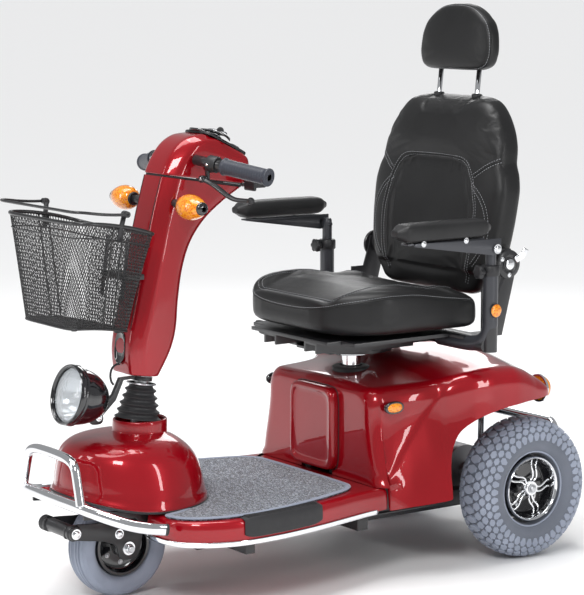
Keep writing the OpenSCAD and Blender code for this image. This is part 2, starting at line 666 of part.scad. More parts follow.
// Backrest: rings stacked upwards. Rows: height, half width, half thickness.
back_rows = [[654, 196, 30], [662, 212, 42], [690, 226, 50], [731, 236, 53], [800, 244, 54], [850, 246, 54],
    [890, 238, 54], [922, 224, 53], [945, 222, 53], [975, 214, 52], [1010, 196, 49], [1038, 174, 45],
    [1058, 150, 38], [1068, 122, 26]];
function back_mid(z) = 428 + (z - 700) * 0.14;
function back_ring(row) = [for (p = oval(row[1], row[2], 0.55, 36)) [p[0], back_mid(row[0]) + p[1],
    row[0]]];
headrest_x = 70.5;
headrest_y = 483;
// The headrest posts slide in two sockets in the top of the padding.
module backrest_cushion() color("black") difference() {
    loft([for (row = back_rows) back_ring(row)]);
    pair() rod([headrest_x, headrest_y, 1068] - headrest_dir * 1.1, [headrest_x, headrest_y,
        1068] + headrest_dir, 7.5);
}
module backrest_frame() color("dimgray") pair() {
    side_plate([[418, 676], [442, 676], [452, 700], [446, 726], [418, 726], [412, 700]], 236, 243);
    along_x(243, 256, recline_pivot[1], recline_pivot[2], 8);
    along_x(253, 257, recline_pivot[1], recline_pivot[2], 16);
}

headrest_dir = [0, 10, 90];
module headrest_posts() color("silver") pair()
    rod([headrest_x, headrest_y, 1068] - headrest_dir, [headrest_x, headrest_y,
        1068] + headrest_dir * 0.8, 6);
head_rest_rows = [[1127, 100, 20], [1134, 119, 30], [1148, 130, 33], [1172, 136, 34], [1205, 132, 34],
    [1235, 120, 33], [1258, 98, 30], [1274, 72, 26], [1283, 46, 18], [1286, 28, 10]];
module headrest_cushion() color("black") difference() {
    loft([for (row = head_rest_rows) [for (p = oval(row[1], row[2], 0.6, 32))
        [p[0], headrest_y + 6 + (row[0] - 1200) * 0.08 + p[1], row[0]]]]);
    pair() rod([headrest_x, headrest_y, 1068] + headrest_dir * 0.5, [headrest_x, headrest_y,
        1068] + headrest_dir * 0.82,
        6 + pin_fit);
}

// ---------------------------------------------------------------- armrests, drawn for the left side

module arm_post() color("gray") difference() {
    translate([arm_x, arm_pivot_y, 545]) cylinder(h = 211, r = 12);
    along_x(arm_x - 13, arm_x + 13, arm_pivot_y, arm_pivot_z, 5 + pin_fit);
}
module arm_bracket() color("gray") {
    side_plate([[342, 730], [342, 764], [96, 768], [96, 761], [316, 728]], arm_x + 14, arm_x + 18);
    box([arm_x - 12, 80, 764], [arm_x + 14, 296, 768]);
    along_x(arm_x - 16, arm_x + 14, arm_pivot_y, arm_pivot_z, 5);
    along_x(arm_x + 18, arm_x + 23, arm_pivot_y, arm_pivot_z, 9);
}
module arm_pad() color("black") loft([for (row = [[318, 20, 12], [312, 26, 19], [290, 28, 22], [200,
    28, 22],
    [110, 27, 21], [72, 25, 18], [56, 20, 13], [51, 12, 7]]) [for (p = oval(row[1], row[2], 0.55, 24))
        [arm_x + p[0], row[0], 791 + p[1]]]]);

// ---------------------------------------------------------------- assembly

chassis_frame();
seat_tube();
floor_pan();
floor_mat();
side_step_pads();
edge_trim();
front_cowl();
front_bumper();
rear_body();
battery_cover();
side_markers();
rear_lamps();
rear_bumper();
transaxle();
drive_motor();
batteries();
rear_tyre();  // rear_tyre_left
rear_rim();  // rear_rim_left
mirror([1, 0, 0]) rear_tyre();  // rear_tyre_right
mirror([1, 0, 0]) rear_rim();  // rear_rim_right
steering_stem();
front_fork();
fork_bolts();
headlight_bracket();
headlight_cable();
steering_boot();
front_tyre();
front_rim();
headlight_housing();
headlight_lens();
tiller_frame();
tiller_cover();
console_head();
console_panel();
handlebar();
handlebar_grips();
turn_signals();
charger_socket();
basket();
basket_handle();
brake_lever();
throttle_lever();
speed_dial();
ignition_key();
seat_post();
swivel_plate();
seat_base();
seat_cushion();
seat_levers();
backrest_frame();
backrest_cushion();
headrest_posts();
headrest_cushion();
arm_post();  // arm_post_left
mirror([1, 0, 0]) arm_post();  // arm_post_right
arm_bracket();  // arm_bracket_left
mirror([1, 0, 0]) arm_bracket();  // arm_bracket_right
arm_pad();  // arm_pad_left
mirror([1, 0, 0]) arm_pad();  // arm_pad_right
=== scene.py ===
"""Looks of the mobility scooter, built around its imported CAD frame. Metres, +Z up, the scooter faces -Y."""
from math import atan2, cos, degrees, pi, radians, sin

import bmesh
import bpy
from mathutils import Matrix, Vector


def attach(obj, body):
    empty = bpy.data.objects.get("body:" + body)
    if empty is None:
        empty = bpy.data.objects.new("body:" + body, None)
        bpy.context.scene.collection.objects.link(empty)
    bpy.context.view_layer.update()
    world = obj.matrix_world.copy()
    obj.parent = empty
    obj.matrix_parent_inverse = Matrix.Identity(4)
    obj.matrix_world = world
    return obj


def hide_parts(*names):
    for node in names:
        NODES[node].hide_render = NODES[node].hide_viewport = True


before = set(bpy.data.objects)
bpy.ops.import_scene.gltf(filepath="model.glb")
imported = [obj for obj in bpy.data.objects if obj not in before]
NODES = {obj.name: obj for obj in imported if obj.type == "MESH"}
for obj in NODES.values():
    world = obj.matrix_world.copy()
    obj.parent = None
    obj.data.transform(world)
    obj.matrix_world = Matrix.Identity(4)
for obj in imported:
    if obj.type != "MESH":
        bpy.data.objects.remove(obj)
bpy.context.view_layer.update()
MM = 0.001
REAR_WHEEL = Vector((253, 480, 165))
REAR_RIM_R, REAR_TYRE_R, REAR_TYRE_W = 76, 165, 104
FRONT_WHEEL = Vector((0, -469, 113))
FRONT_RIM_R, FRONT_TYRE_R, FRONT_TYRE_W = 66, 113, 68
POST_Y = 170
ARM_X, ARM_Y = 312, 327
LAMP = Vector((0, -584, 457))
LAMP_TILT = 14
MARKER_Y, MARKER_Z = 116, 388
SPOKES = 5

# ------------------------------------------------------------------ materials


def socket(mat, name):
    return mat.node_tree.nodes["Principled BSDF"].inputs[name]


def add(mat, kind, **values):
    """A new shader node, with its input sockets or its own properties set by name."""
    node = mat.node_tree.nodes.new(kind)
    for name, value in values.items():
        if name in node.inputs:
            node.inputs[name].default_value = value
        else:
            setattr(node, name, value)
    return node


def link(mat, source, target):
    mat.node_tree.links.new(source, target)


def material(name, colour, roughness, metallic=0.0, coat=0.0, coat_roughness=0.03, sheen=0.0,
        transmission=0.0, ior=1.5):
    mat = bpy.data.materials.new(name)
    mat.use_nodes = True
    mat.diffuse_color = (*colour, 1)
    for key, value in {"Base Color": (*colour, 1), "Roughness": roughness, "Metallic": metallic,
            "Coat Weight": coat, "Coat Roughness": coat_roughness, "Sheen Weight": sheen,
            "Transmission Weight": transmission, "IOR": ior}.items():
        socket(mat, key).default_value = value
    return mat


def coordinates(mat, stretch=(1, 1, 1)):
    where = add(mat, "ShaderNodeTexCoord")
    mapping = add(mat, "ShaderNodeMapping")
    mapping.inputs["Scale"].default_value = stretch
    link(mat, where.outputs["Object"], mapping.inputs["Vector"])
    return mapping.outputs["Vector"]


def noise(mat, scale, detail=4.0, stretch=(1, 1, 1)):
    node = add(mat, "ShaderNodeTexNoise", Scale=scale, Detail=detail)
    link(mat, coordinates(mat, stretch), node.inputs["Vector"])
    return node.outputs["Fac"]


def cells(mat, scale, feature="F1", stretch=(1, 1, 1)):
    node = add(mat, "ShaderNodeTexVoronoi", feature=feature, Scale=scale)
    link(mat, coordinates(mat, stretch), node.inputs["Vector"])
    return node.outputs["Distance"]


def ramp(mat, value, stops):
    """A colour ramp through (position, colour) stops."""
    node = add(mat, "ShaderNodeValToRGB")
    elements = node.color_ramp.elements
    while len(elements) < len(stops):
        elements.new(0.5)
    for element, (position, colour) in zip(elements, stops):
        element.position = position
        element.color = (*colour, 1)
    link(mat, value, node.inputs["Fac"])
    return node.outputs["Color"]


def vary_colour(mat, value, stops):
    link(mat, ramp(mat, value, stops), socket(mat, "Base Color"))


def vary_roughness(mat, value, low, high):
    spread = add(mat, "ShaderNodeMapRange")
    spread.inputs["To Min"].default_value = low
    spread.inputs["To Max"].default_value = high
    link(mat, value, spread.inputs["Value"])
    link(mat, spread.outputs["Result"], socket(mat, "Roughness"))


def bump(mat, heights, target="Normal"):
    """Bumps from (height, strength, distance) entries, stacked on each other."""
    before = None
    for height, strength, distance in heights:
        node = add(mat, "ShaderNodeBump", Strength=strength, Distance=distance)
        link(mat, height, node.inputs["Height"])
        if before:
            link(mat, before, node.inputs["Normal"])
        before = node.outputs["Normal"]
    link(mat, before, socket(mat, target))


def red_paint():
    mat = material("red_paint", (0.30, 0.001, 0.006), 0.3, metallic=0.25, coat=1.0, coat_roughness=0.02)
    vary_colour(mat, noise(mat, 3.0, 2.0), [(0.35, (0.26, 0.001, 0.005)), (0.65, (0.34, 0.001, 0.008))])
    socket(mat, "Specular IOR Level").default_value = 0.1
    bump(mat, [(cells(mat, 2600), 0.06, 0.0002)])
    bump(mat, [(noise(mat, 160, 2.0), 0.02, 0.0008)], "Coat Normal")
    return mat


def chrome():
    mat = material("chrome", (0.82, 0.83, 0.85), 0.06, metallic=1.0)
    vary_roughness(mat, noise(mat, 40, 6.0), 0.03, 0.13)
    bump(mat, [(noise(mat, 220, 2.0), 0.015, 0.0005)])
    return mat


def brushed_steel():
    mat = material("steel", (0.55, 0.56, 0.58), 0.32, metallic=1.0)
    grain = noise(mat, 900, 3.0, (1, 1, 0.04))
    vary_roughness(mat, grain, 0.22, 0.42)
    bump(mat, [(grain, 0.12, 0.0002)])
    return mat


def black_steel(name="black_steel", tint=(0.018, 0.018, 0.020), roughness=0.34):
    mat = material(name, tint, roughness, coat=0.25, coat_roughness=0.2)
    vary_roughness(mat, noise(mat, 60, 5.0), roughness - 0.08, roughness + 0.1)
    bump(mat, [(noise(mat, 1100, 3.0), 0.16, 0.0003)])
    return mat


def grey_metal():
    mat = material("grey_metal", (0.042, 0.044, 0.052), 0.36, metallic=0.3, coat=0.3, coat_roughness=0.2)
    vary_roughness(mat, noise(mat, 80, 5.0), 0.3, 0.48)
    bump(mat, [(noise(mat, 1400, 3.0), 0.12, 0.0002)])
    return mat


def moulded_plastic(name, colour, roughness=0.45, grain=1500):
    mat = material(name, colour, roughness)
    vary_roughness(mat, noise(mat, 30, 4.0), roughness - 0.07, roughness + 0.08)
    bump(mat, [(cells(mat, grain), 0.22, 0.0003)])
    return mat


def gloss_black():
    mat = material("gloss_black", (0.008, 0.008, 0.010), 0.12, coat=1.0)
    bump(mat, [(noise(mat, 120, 2.0), 0.02, 0.0006)])
    return mat


def vinyl(name="vinyl", base=0.012, roughness=0.42):
    """Black grained upholstery vinyl: pebbles with fine creases between them."""
    mat = material(name, (base, base, base * 1.1), roughness, coat=0.12, coat_roughness=0.35)
    socket(mat, "Specular IOR Level").default_value = 0.3
    pebbles = cells(mat, 620, "DISTANCE_TO_EDGE")
    vary_roughness(mat, noise(mat, 45, 5.0), roughness - 0.06, roughness + 0.09)
    vary_colour(mat, noise(mat, 9, 3.0), [(0.3, (base, base, base * 1.05)),
        (0.75, (base * 1.7, base * 1.7, base * 1.8))])
    bump(mat, [(noise(mat, 22, 3.0), 0.10, 0.004), (pebbles, 0.30, 0.0006), (noise(mat, 2400, 3.0), 0.15,
        0.0002)])
    return mat


def tyre_rubber(name="tyre_rubber", shade=1.0):
    mat = material(name, (0.28 * shade, 0.31 * shade, 0.39 * shade), 0.62, sheen=0.15)
    vary_colour(mat, noise(mat, 14, 5.0), [(0.3, (0.24 * shade, 0.27 * shade, 0.34 * shade)),
        (0.7, (0.31 * shade, 0.345 * shade, 0.43 * shade))])
    vary_roughness(mat, noise(mat, 50, 4.0), 0.52, 0.72)
    bump(mat, [(noise(mat, 1500, 4.0), 0.18, 0.0003)])
    return mat


def black_rubber(name="black_rubber", roughness=0.55):
    mat = material(name, (0.014, 0.014, 0.016), roughness, sheen=0.1)
    vary_roughness(mat, noise(mat, 70, 4.0), roughness - 0.1, roughness + 0.12)
    bump(mat, [(noise(mat, 1800, 3.0), 0.2, 0.0003)])
    return mat


def carpet():
    """Loop pile: grey, black and pale blue tufts a few millimetres across."""
    mat = material("carpet", (0.10, 0.12, 0.16), 0.95, sheen=0.5)
    tufts = add(mat, "ShaderNodeTexVoronoi", Scale=260.0)
    link(mat, coordinates(mat), tufts.inputs["Vector"])
    separate = add(mat, "ShaderNodeSeparateColor")
    link(mat, tufts.outputs["Color"], separate.inputs["Color"])
    vary_colour(mat, separate.outputs[0], [(0.0, (0.010, 0.013, 0.022)), (0.35, (0.035, 0.045, 0.070)),
        (0.62, (0.09, 0.11, 0.15)), (1.0, (0.34, 0.38, 0.45))])
    bump(mat, [(tufts.outputs["Distance"], 0.9, 0.004), (noise(mat, 1400, 3.0), 0.5, 0.001)])
    return mat


def binding():
    mat = material("mat_binding", (0.22, 0.26, 0.33), 0.8, sheen=0.3)
    weave = noise(mat, 900, 3.0)
    vary_colour(mat, weave, [(0.3, (0.17, 0.20, 0.27)), (0.7, (0.28, 0.32, 0.40))])
    bump(mat, [(cells(mat, 700), 0.5, 0.0008)])
    return mat


def amber():
    mat = material("amber_lens", (0.85, 0.22, 0.006), 0.14, coat=1.0, transmission=0.1, ior=1.46)
    vary_colour(mat, cells(mat, 190), [(0.1, (0.70, 0.11, 0.002)), (0.6, (1.0, 0.36, 0.01))])
    bump(mat, [(cells(mat, 150), 0.35, 0.002)])
    return mat


def lens_glass():
    mat = material("lens_glass", (0.90, 0.93, 0.95), 0.16, transmission=0.75, ior=1.45)
    bump(mat, [(cells(mat, 130), 0.25, 0.0015)])
    return mat


def cast_alloy():
    mat = material("cast_alloy", (0.33, 0.33, 0.34), 0.5, metallic=0.9)
    vary_roughness(mat, noise(mat, 60, 5.0), 0.4, 0.62)
    bump(mat, [(noise(mat, 700, 4.0), 0.4, 0.0006)])
    return mat


def thread(name, colour):
    mat = material(name, colour, 0.7, sheen=0.3)
    vary_colour(mat, noise(mat, 2500, 2.0), [(0.3, tuple(c * 0.7 for c in colour)), (0.7, colour)])
    bump(mat, [(noise(mat, 3000, 2.0), 0.4, 0.0003)])
    return mat


RED = red_paint()
CHROME = chrome()
STEEL = brushed_steel()
BLACK_STEEL = black_steel()
GREY_METAL = grey_metal()
BLACK_PLASTIC = moulded_plastic("black_plastic", (0.016, 0.016, 0.018))
GREY_PLASTIC = moulded_plastic("grey_plastic", (0.10, 0.105, 0.115))
WHITE_MARK = moulded_plastic("pale_mark", (0.62, 0.63, 0.64), 0.5)
GLOSS_BLACK = gloss_black()
VINYL = vinyl(base=0.006)
PAD_FOAM = vinyl("pad_foam", 0.010, 0.5)
TYRE = tyre_rubber()
# Tyre rubber darkened to 0.45: painted shade for the shadow down in the grooves between the tread blocks, not a
# different rubber.
TYRE_GROOVE_SHADE = tyre_rubber("tyre_groove_painted_shade", 0.45)
RUBBER = black_rubber()
GRIP = black_rubber("grip_rubber", 0.45)
socket(GRIP, "Base Color").default_value = (0.022, 0.026, 0.040, 1)
CARPET = carpet()
BINDING = binding()
AMBER = amber()
GLASS = lens_glass()
ALLOY = cast_alloy()
STITCH = thread("stitching", (0.33, 0.34, 0.36))
WIRE = black_steel("wire_coating", (0.010, 0.010, 0.011), 0.3)

# ------------------------------------------------------------------ mesh helpers


def new_object(name, verts, faces, mat, smooth=True):
    """A mesh from points in millimetres."""
    mesh = bpy.data.meshes.new(name)
    mesh.from_pydata([tuple(c * MM for c in v) for v in verts], [], faces)
    mesh.validate()
    mesh.materials.append(mat)
    for polygon in mesh.polygons:
        polygon.use_smooth = smooth
    obj = bpy.data.objects.new(name, mesh)
    bpy.context.scene.collection.objects.link(obj)
    fix_normals(obj)
    return obj


def fix_normals(obj):
    bm = bmesh.new()
    bm.from_mesh(obj.data)
    bmesh.ops.remove_doubles(bm, verts=bm.verts, dist=1e-6)
    bmesh.ops.recalc_face_normals(bm, faces=bm.faces)
    bm.to_mesh(obj.data)
    bm.free()


def apply_modifiers(obj):
    graph = bpy.context.evaluated_depsgraph_get()
    graph.update()
    mesh = bpy.data.meshes.new_from_object(obj.evaluated_get(graph))
    old = obj.data
    obj.modifiers.clear()
    obj.data = mesh
    bpy.data.meshes.remove(old)
    return obj


def subdivide(obj, levels):
    modifier = obj.modifiers.new("subdivide", "SUBSURF")
    modifier.levels = modifier.render_levels = levels
    return apply_modifiers(obj)


def thicken(obj, thickness, offset=-1):
    modifier = obj.modifiers.new("wall", "SOLIDIFY")
    modifier.thickness = thickness * MM
    modifier.offset = offset
    return apply_modifiers(obj)


def round_edges(obj, width, segments=3, angle=35):
    modifier = obj.modifiers.new("round", "BEVEL")
    modifier.width = width * MM
    modifier.segments = segments
    modifier.limit_method = "ANGLE"
    modifier.angle_limit = radians(angle)
    modifier.harden_normals = False
    apply_modifiers(obj)
    for polygon in obj.data.polygons:
        polygon.use_smooth = True
    return obj


def sharp_by_angle(obj, angle=40):
    """Smooth shading with edges sharper than the angle left crisp."""
    bm = bmesh.new()
    bm.from_mesh(obj.data)
    for face in bm.faces:
        face.smooth = True
    for edge in bm.edges:
        if len(edge.link_faces) == 2:
            edge.smooth = edge.calc_face_angle(0) < radians(angle)
    bm.to_mesh(obj.data)
    bm.free()
    return obj


def strip_faces(rows, columns, closed):
    wrap = columns if closed else columns - 1
    return [(j * columns + i, j * columns + (i + 1) % columns, (j + 1) * columns + (i + 1) % columns,
        (j + 1) * columns + i) for j in range(rows - 1) for i in range(wrap)]


def loft(name, rings, mat, closed=True, caps=True, smooth=True):
    """A skin through rings of points with the same count."""
    count = len(rings[0])
    verts = [p for ring in rings for p in ring]
    faces = strip_faces(len(rings), count, closed)
    if caps:
        faces.append(tuple(range(count)))
        faces.append(tuple(range((len(rings) - 1) * count, len(rings) * count)))
    return new_object(name, verts, faces, mat, smooth)


def catmull(points, steps, closed=False):
    """A smooth curve through the points, as a list with that many steps a span."""
    pts = [Vector(p) for p in points]
    n = len(pts)
    spans = n if closed else n - 1
    out = []
    for i in range(spans):
        if closed:
            p0, p1, p2, p3 = (pts[(i + k) % n] for k in (-1, 0, 1, 2))
        else:
            p1, p2 = pts[i], pts[i + 1]
            p0 = pts[i - 1] if i else p1 * 2 - p2
            p3 = pts[i + 2] if i + 2 < n else p2 * 2 - p1
        for k in range(steps):
            t = k / steps
            out.append(0.5 * ((2 * p1) + (p2 - p0) * t + (2 * p0 - 5 * p1 + 4 * p2 - p3) * t * t
                + (3 * p1 - p0 - 3 * p2 + p3) * t ** 3))
    if not closed:
        out.append(pts[-1])
    return out


def round_corners(points, rounds=3):
    """Cuts the corners of an open path again and again, keeping its ends."""
    pts = [Vector(p) for p in points]
    for _ in range(rounds):
        cut = [pts[0]]
        for a, b in zip(pts, pts[1:]):
            cut += [a * 0.75 + b * 0.25, a * 0.25 + b * 0.75]
        pts = cut + [pts[-1]]
    return pts


def frames_along(path, closed=False):
    """Tangent and two normals at each point, carried along without twist."""
    count = len(path)
    out = []
    normal = None
    for i, point in enumerate(path):
        before = path[i - 1] if (i or closed) else point
        after = path[(i + 1) % count] if (i + 1 < count or closed) else point
        tangent = (after - before).normalized()
        if normal is None:
            guess = Vector((0, 0, 1)) if abs(tangent.z) < 0.9 else Vector((1, 0, 0))
            normal = guess.cross(tangent).normalized()
        normal = (normal - tangent * normal.dot(tangent)).normalized()
        out.append((tangent, normal, tangent.cross(normal)))
    return out


def tube(name, path, radius, mat, closed=False, sides=12, radii=None):
    """A round tube along a path; radii gives one radius a point."""
    path = [Vector(p) for p in path]
    rings = []
    for i, (point, (_, u, v)) in enumerate(zip(path, frames_along(path, closed))):
        r = radii[i] if radii else radius
        rings.append([point + r * (cos(2 * pi * k / sides) * u + sin(2 * pi * k / sides) * v)
            for k in range(sides)])
    if closed:
        rings.append(rings[0])
    return loft(name, rings, mat, caps=not closed)


def sweep(name, path, section, up, mat, closed=False):
    """A section of (sideways, upwards) points along a path, with a fixed up direction."""
    path = [Vector(p) for p in path]
    up = Vector(up).normalized()
    rings = []
    for point, (tangent, _, _) in zip(path, frames_along(path, closed)):
        side = tangent.cross(up).normalized()
        rings.append([point + side * a + up * b for a, b in section])
    if closed:
        rings.append(rings[0])
    return loft(name, rings, mat, caps=not closed)


def basis(axis):
    axis = Vector(axis).normalized()
    u = (Vector((0, 0, 1)) if abs(axis.z) < 0.9 else Vector((1, 0, 0))).cross(axis).normalized()
    return axis, u, axis.cross(u)


def lathe(name, centre, axis, profile, mat, segments=48):
    """Turns a profile of (radius, distance along the axis). One that doesn't end on the axis is closed on itself."""
    axis, u, v = basis(axis)
    centre = Vector(centre)
    if profile[0][0] > 0 or profile[-1][0] > 0:
        profile = list(profile) + [profile[0]]
    rings = []
    for r, h in profile:
        rings.append([centre + axis * h + r * (cos(2 * pi * k / segments) * u
            + sin(2 * pi * k / segments) * v) for k in range(segments)])
    return sharp_by_angle(loft(name, rings, mat, caps=False), 42)


def rounded_box(name, low, high, radius, mat, segments=3):
    corners = [(x, y, z) for x in (low[0], high[0]) for y in (low[1], high[1]) for z in (low[2], high[2])]
    faces = [(0, 1, 3, 2), (4, 6, 7, 5), (0, 4, 5, 1), (2, 3, 7, 6), (0, 2, 6, 4), (1, 5, 7, 3)]
    return round_edges(new_object(name, corners, faces, mat), radius, segments)


def plate(name, outline, thickness, mat, radius=1.0):
    """A flat plate: outline points in space, thickened along its own normal, with round edges."""
    obj = new_object(name, outline, [tuple(range(len(outline)))], mat)
    thicken(obj, thickness, 0)
    return round_edges(obj, radius, 2)


def bolt(name, centre, axis, radius, height, mat):
    """A hexagon head with a washer."""
    axis, u, v = basis(axis)
    centre = Vector(centre)
    ring = [centre + radius * (cos(k * pi / 3) * u + sin(k * pi / 3) * v) for k in range(6)]
    head = loft(name + "_head", [ring, [p + axis * height for p in ring]], mat, smooth=False)
    round_edges(head, radius * 0.12, 2)
    washer = lathe(name + "_washer", centre, axis, [(0, 0), (radius * 1.35, 0),
        (radius * 1.35, height * 0.2), (0, height * 0.2)], mat, 32)
    return join(name, [head, washer])


def join(name, parts):
    """One object from several; their materials and shading stay."""
    bpy.ops.object.select_all(action="DESELECT")
    for part in parts:
        part.select_set(True)
    bpy.context.view_layer.objects.active = parts[0]
    bpy.ops.object.join()
    parts[0].name = name
    parts[0].data.name = name
    return parts[0]


def place(obj, body, slot, *replaced):
    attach(obj, body)
    if replaced:
        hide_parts(*replaced)
    return obj


def smooth_outline(points, sharp=50, rounds=3):
    """Rounds the gentle corners of a closed outline and keeps the sharp ones, slightly rounded."""
    pts = [Vector((p[0], p[1])) for p in points]
    for step in range(rounds):
        out = []
        n = len(pts)
        for i, p in enumerate(pts):
            before, after = pts[i - 1], pts[(i + 1) % n]
            turn = degrees((p - before).angle(after - p, 0))
            if turn > sharp and step > 0:
                out.append(p)
            elif turn > sharp:
                near = min(6, (p - before).length * 0.3, (after - p).length * 0.3)
                out += [p + (before - p).normalized() * near, p + (after - p).normalized() * near]
            else:
                out += [p * 0.75 + before * 0.25, p * 0.75 + after * 0.25]
        pts = out
    return pts


def inset(points, distance):
    """Moves a closed anticlockwise outline inwards."""
    out = []
    n = len(points)
    for i, p in enumerate(points):
        a = (p - points[i - 1])
        b = (points[(i + 1) % n] - p)
        if a.length < 1e-9 or b.length < 1e-9:
            out.append(p.copy())
            continue
        na = Vector((-a.y, a.x)).normalized()
        nb = Vector((-b.y, b.x)).normalized()
        m = na + nb
        out.append(p + m / max(0.35, 1 + na.dot(nb)) * distance)
    return out


def slab(name, outline, levels, mat):
    """A plate with a rounded rim: levels are (height, inset) from the bottom up."""
    rings = [[(p.x, p.y, z) for p in inset(outline, d)] for z, d in levels]
    obj = loft(name, rings, mat)
    return sharp_by_angle(obj, 55)


def power(value, exponent):
    return abs(value) ** exponent * (1 if value >= 0 else -1)


def superellipse(a, b, exponent, count):
    return [(a * power(cos(2 * pi * i / count), exponent), b * power(sin(2 * pi * i / count), exponent))
        for i in range(count)]


def smoothstep(low, high, value):
    t = min(1.0, max(0.0, (value - low) / (high - low)))
    return t * t * (3 - 2 * t)


# ------------------------------------------------------------------ tables shared with the CAD model, in mm

PAN_HALF = [(122, -336), (122, -470), (205, -470), (250, -450), (282, -405), (301, -350), (305, -300),
    (301, -225), (286, -130), (267, -48), (248, 30), (243, 66)]
MAT_HALF = [(60, -310), (120, -345), (172, -400), (186, -462), (225, -452), (252, -425), (272, -380),
    (282, -320), (276, -230), (256, -130), (232, -50), (214, 0), (190, 26), (160, 35)]
NECK = Vector((0, -408, 430))
RAKE = Vector((0, sin(radians(8)), cos(radians(8))))


def whole(half):
    return list(half) + [(-x, y) for x, y in reversed(half)]


def curve_at(table, value, column):
    """Smoothly interpolates a column of rows whose first entry rises."""
    if value <= table[0][0]:
        return table[0][column]
    if value >= table[-1][0]:
        return table[-1][column]
    k = max(i for i in range(len(table) - 1) if table[i][0] <= value)
    x0, x1 = table[k][0], table[k + 1][0]
    y0, y1 = table[k][column], table[k + 1][column]
    before = (y0 - table[k - 1][column]) / (x0 - table[k - 1][0]) if k else (y1 - y0) / (x1 - x0)
    after = (table[k + 2][column] - y1) / (table[k
        + 2][0] - x1) if k + 2 < len(table) else (y1 - y0) / (x1 - x0)
    here = (y1 - y0) / (x1 - x0)
    m0 = 2 * before * here / (before + here) if before * here > 0 else 0
    m1 = 2 * after * here / (after + here) if after * here > 0 else 0
    h = x1 - x0
    t = (value - x0) / h
    return ((1 + 2 * t) * (1 - t) ** 2 * y0 + t * (1 - t) ** 2 * h * m0 + t * t * (3 - 2 * t) * y1
        + t * t * (t - 1) * h * m1)


def from_cad(name, node, width, mat, body, slot, angle=30):
    """A piece with the CAD node's shape and rounded edges."""
    obj = NODES[node].copy()
    obj.data = NODES[node].data.copy()
    obj.name = obj.data.name = name
    bpy.context.scene.collection.objects.link(obj)
    for key in list(obj.keys()):
        del obj[key]
    obj.data.materials.clear()
    obj.data.materials.append(mat)
    fix_normals(obj)
    bm = bmesh.new()
    bm.from_mesh(obj.data)
    bmesh.ops.dissolve_limit(bm, angle_limit=radians(1), verts=bm.verts, edges=bm.edges)
    bm.to_mesh(obj.data)
    bm.free()
    round_edges(obj, width, 2, angle)
    return place(obj, body, slot, node)


# ------------------------------------------------------------------ rear body

# y, half width at the edge, at the shoulder, height of the shoulder, crown height
BODY_TABLE = [(70, 238, 212, 424, 424), (98, 243, 214, 428, 432), (150, 260, 219, 430, 438),
    (200, 286, 230, 432, 446), (234, 304, 246, 436, 454), (250, 315, 262, 441, 460), (272, 318, 276, 448,
    468), (310, 321, 294, 456, 478), (360, 322, 304, 462, 487), (415, 322, 304, 460, 490),
    (460, 321, 298, 448, 481), (505, 317, 288, 425, 455), (535, 311, 278, 404, 424), (552, 300, 262, 390,
    400)]
ARCH_TABLE = [(70, 209), (97, 209), (98, 156), (150, 160), (200, 167), (234, 174), (240, 236), (250, 284),
    (272, 325), (310, 351), (360, 366), (415, 373), (460, 376), (505, 377), (552, 380)]


def body_point(y, f, inset_side=0.0, inset_top=0.0):
    """A point of the near half of the body's skin; f runs from the lower edge, 0, to the crown, 1."""
    edge, shoulder, top, crown = (curve_at(BODY_TABLE, y, c) for c in (1, 2, 3, 4))
    edge, shoulder, top, crown = edge - inset_side, shoulder - inset_side, top - inset_top, crown - inset_top
    low = min(curve_at(ARCH_TABLE, y, 1), top - 8)
    radius = min(40, (top - low) * 0.7)
    base = 210 if y < 97 else 150
    if f < 0.5:
        g = f / 0.5
        z = low + (top - radius - low) * g
        h = max(0.0, min(1.0, (z - base) / max(1.0, top - radius - base)))
        x = edge + (shoulder - edge) * smoothstep(0, 1, h) ** 0.9
        flat = smoothstep(60, 130, y) * (1 - smoothstep(250, 300, y))
        x -= 5 * flat * sin(pi * h)
    elif f < 0.75:
        a = (f - 0.5) / 0.25 * pi / 2
        x = shoulder - radius + radius * cos(a)
        z = top - radius + radius * sin(a)
    else:
        g = (f - 0.75) / 0.25
        x = (shoulder - radius) * (1 - g)
        z = top + (crown - top) * sin(g * pi / 2)
    return Vector((x, y, z))


def crease(y, z):
    """How far behind the side's diagonal line a point is."""
    line = 112 + (z - 238) / (419 - 238) * 135
    return y - line


def body_skin_row(y, count, inset_side=0.0, inset_top=0.0, scale=1.0, base=210):
    row = []
    for i in range(count):
        f = i / (count - 1)
        p = body_point(y, f, inset_side, inset_top)
        behind = crease(p.y, p.z)
        if f < 0.75 and 98 < y < 330:
            p.x += 2.6 * smoothstep(-4, 3, behind) * (1 - smoothstep(10, 90, behind))
        row.append(Vector((p.x * scale, p.y, base + (p.z - base) * scale)))
    return row


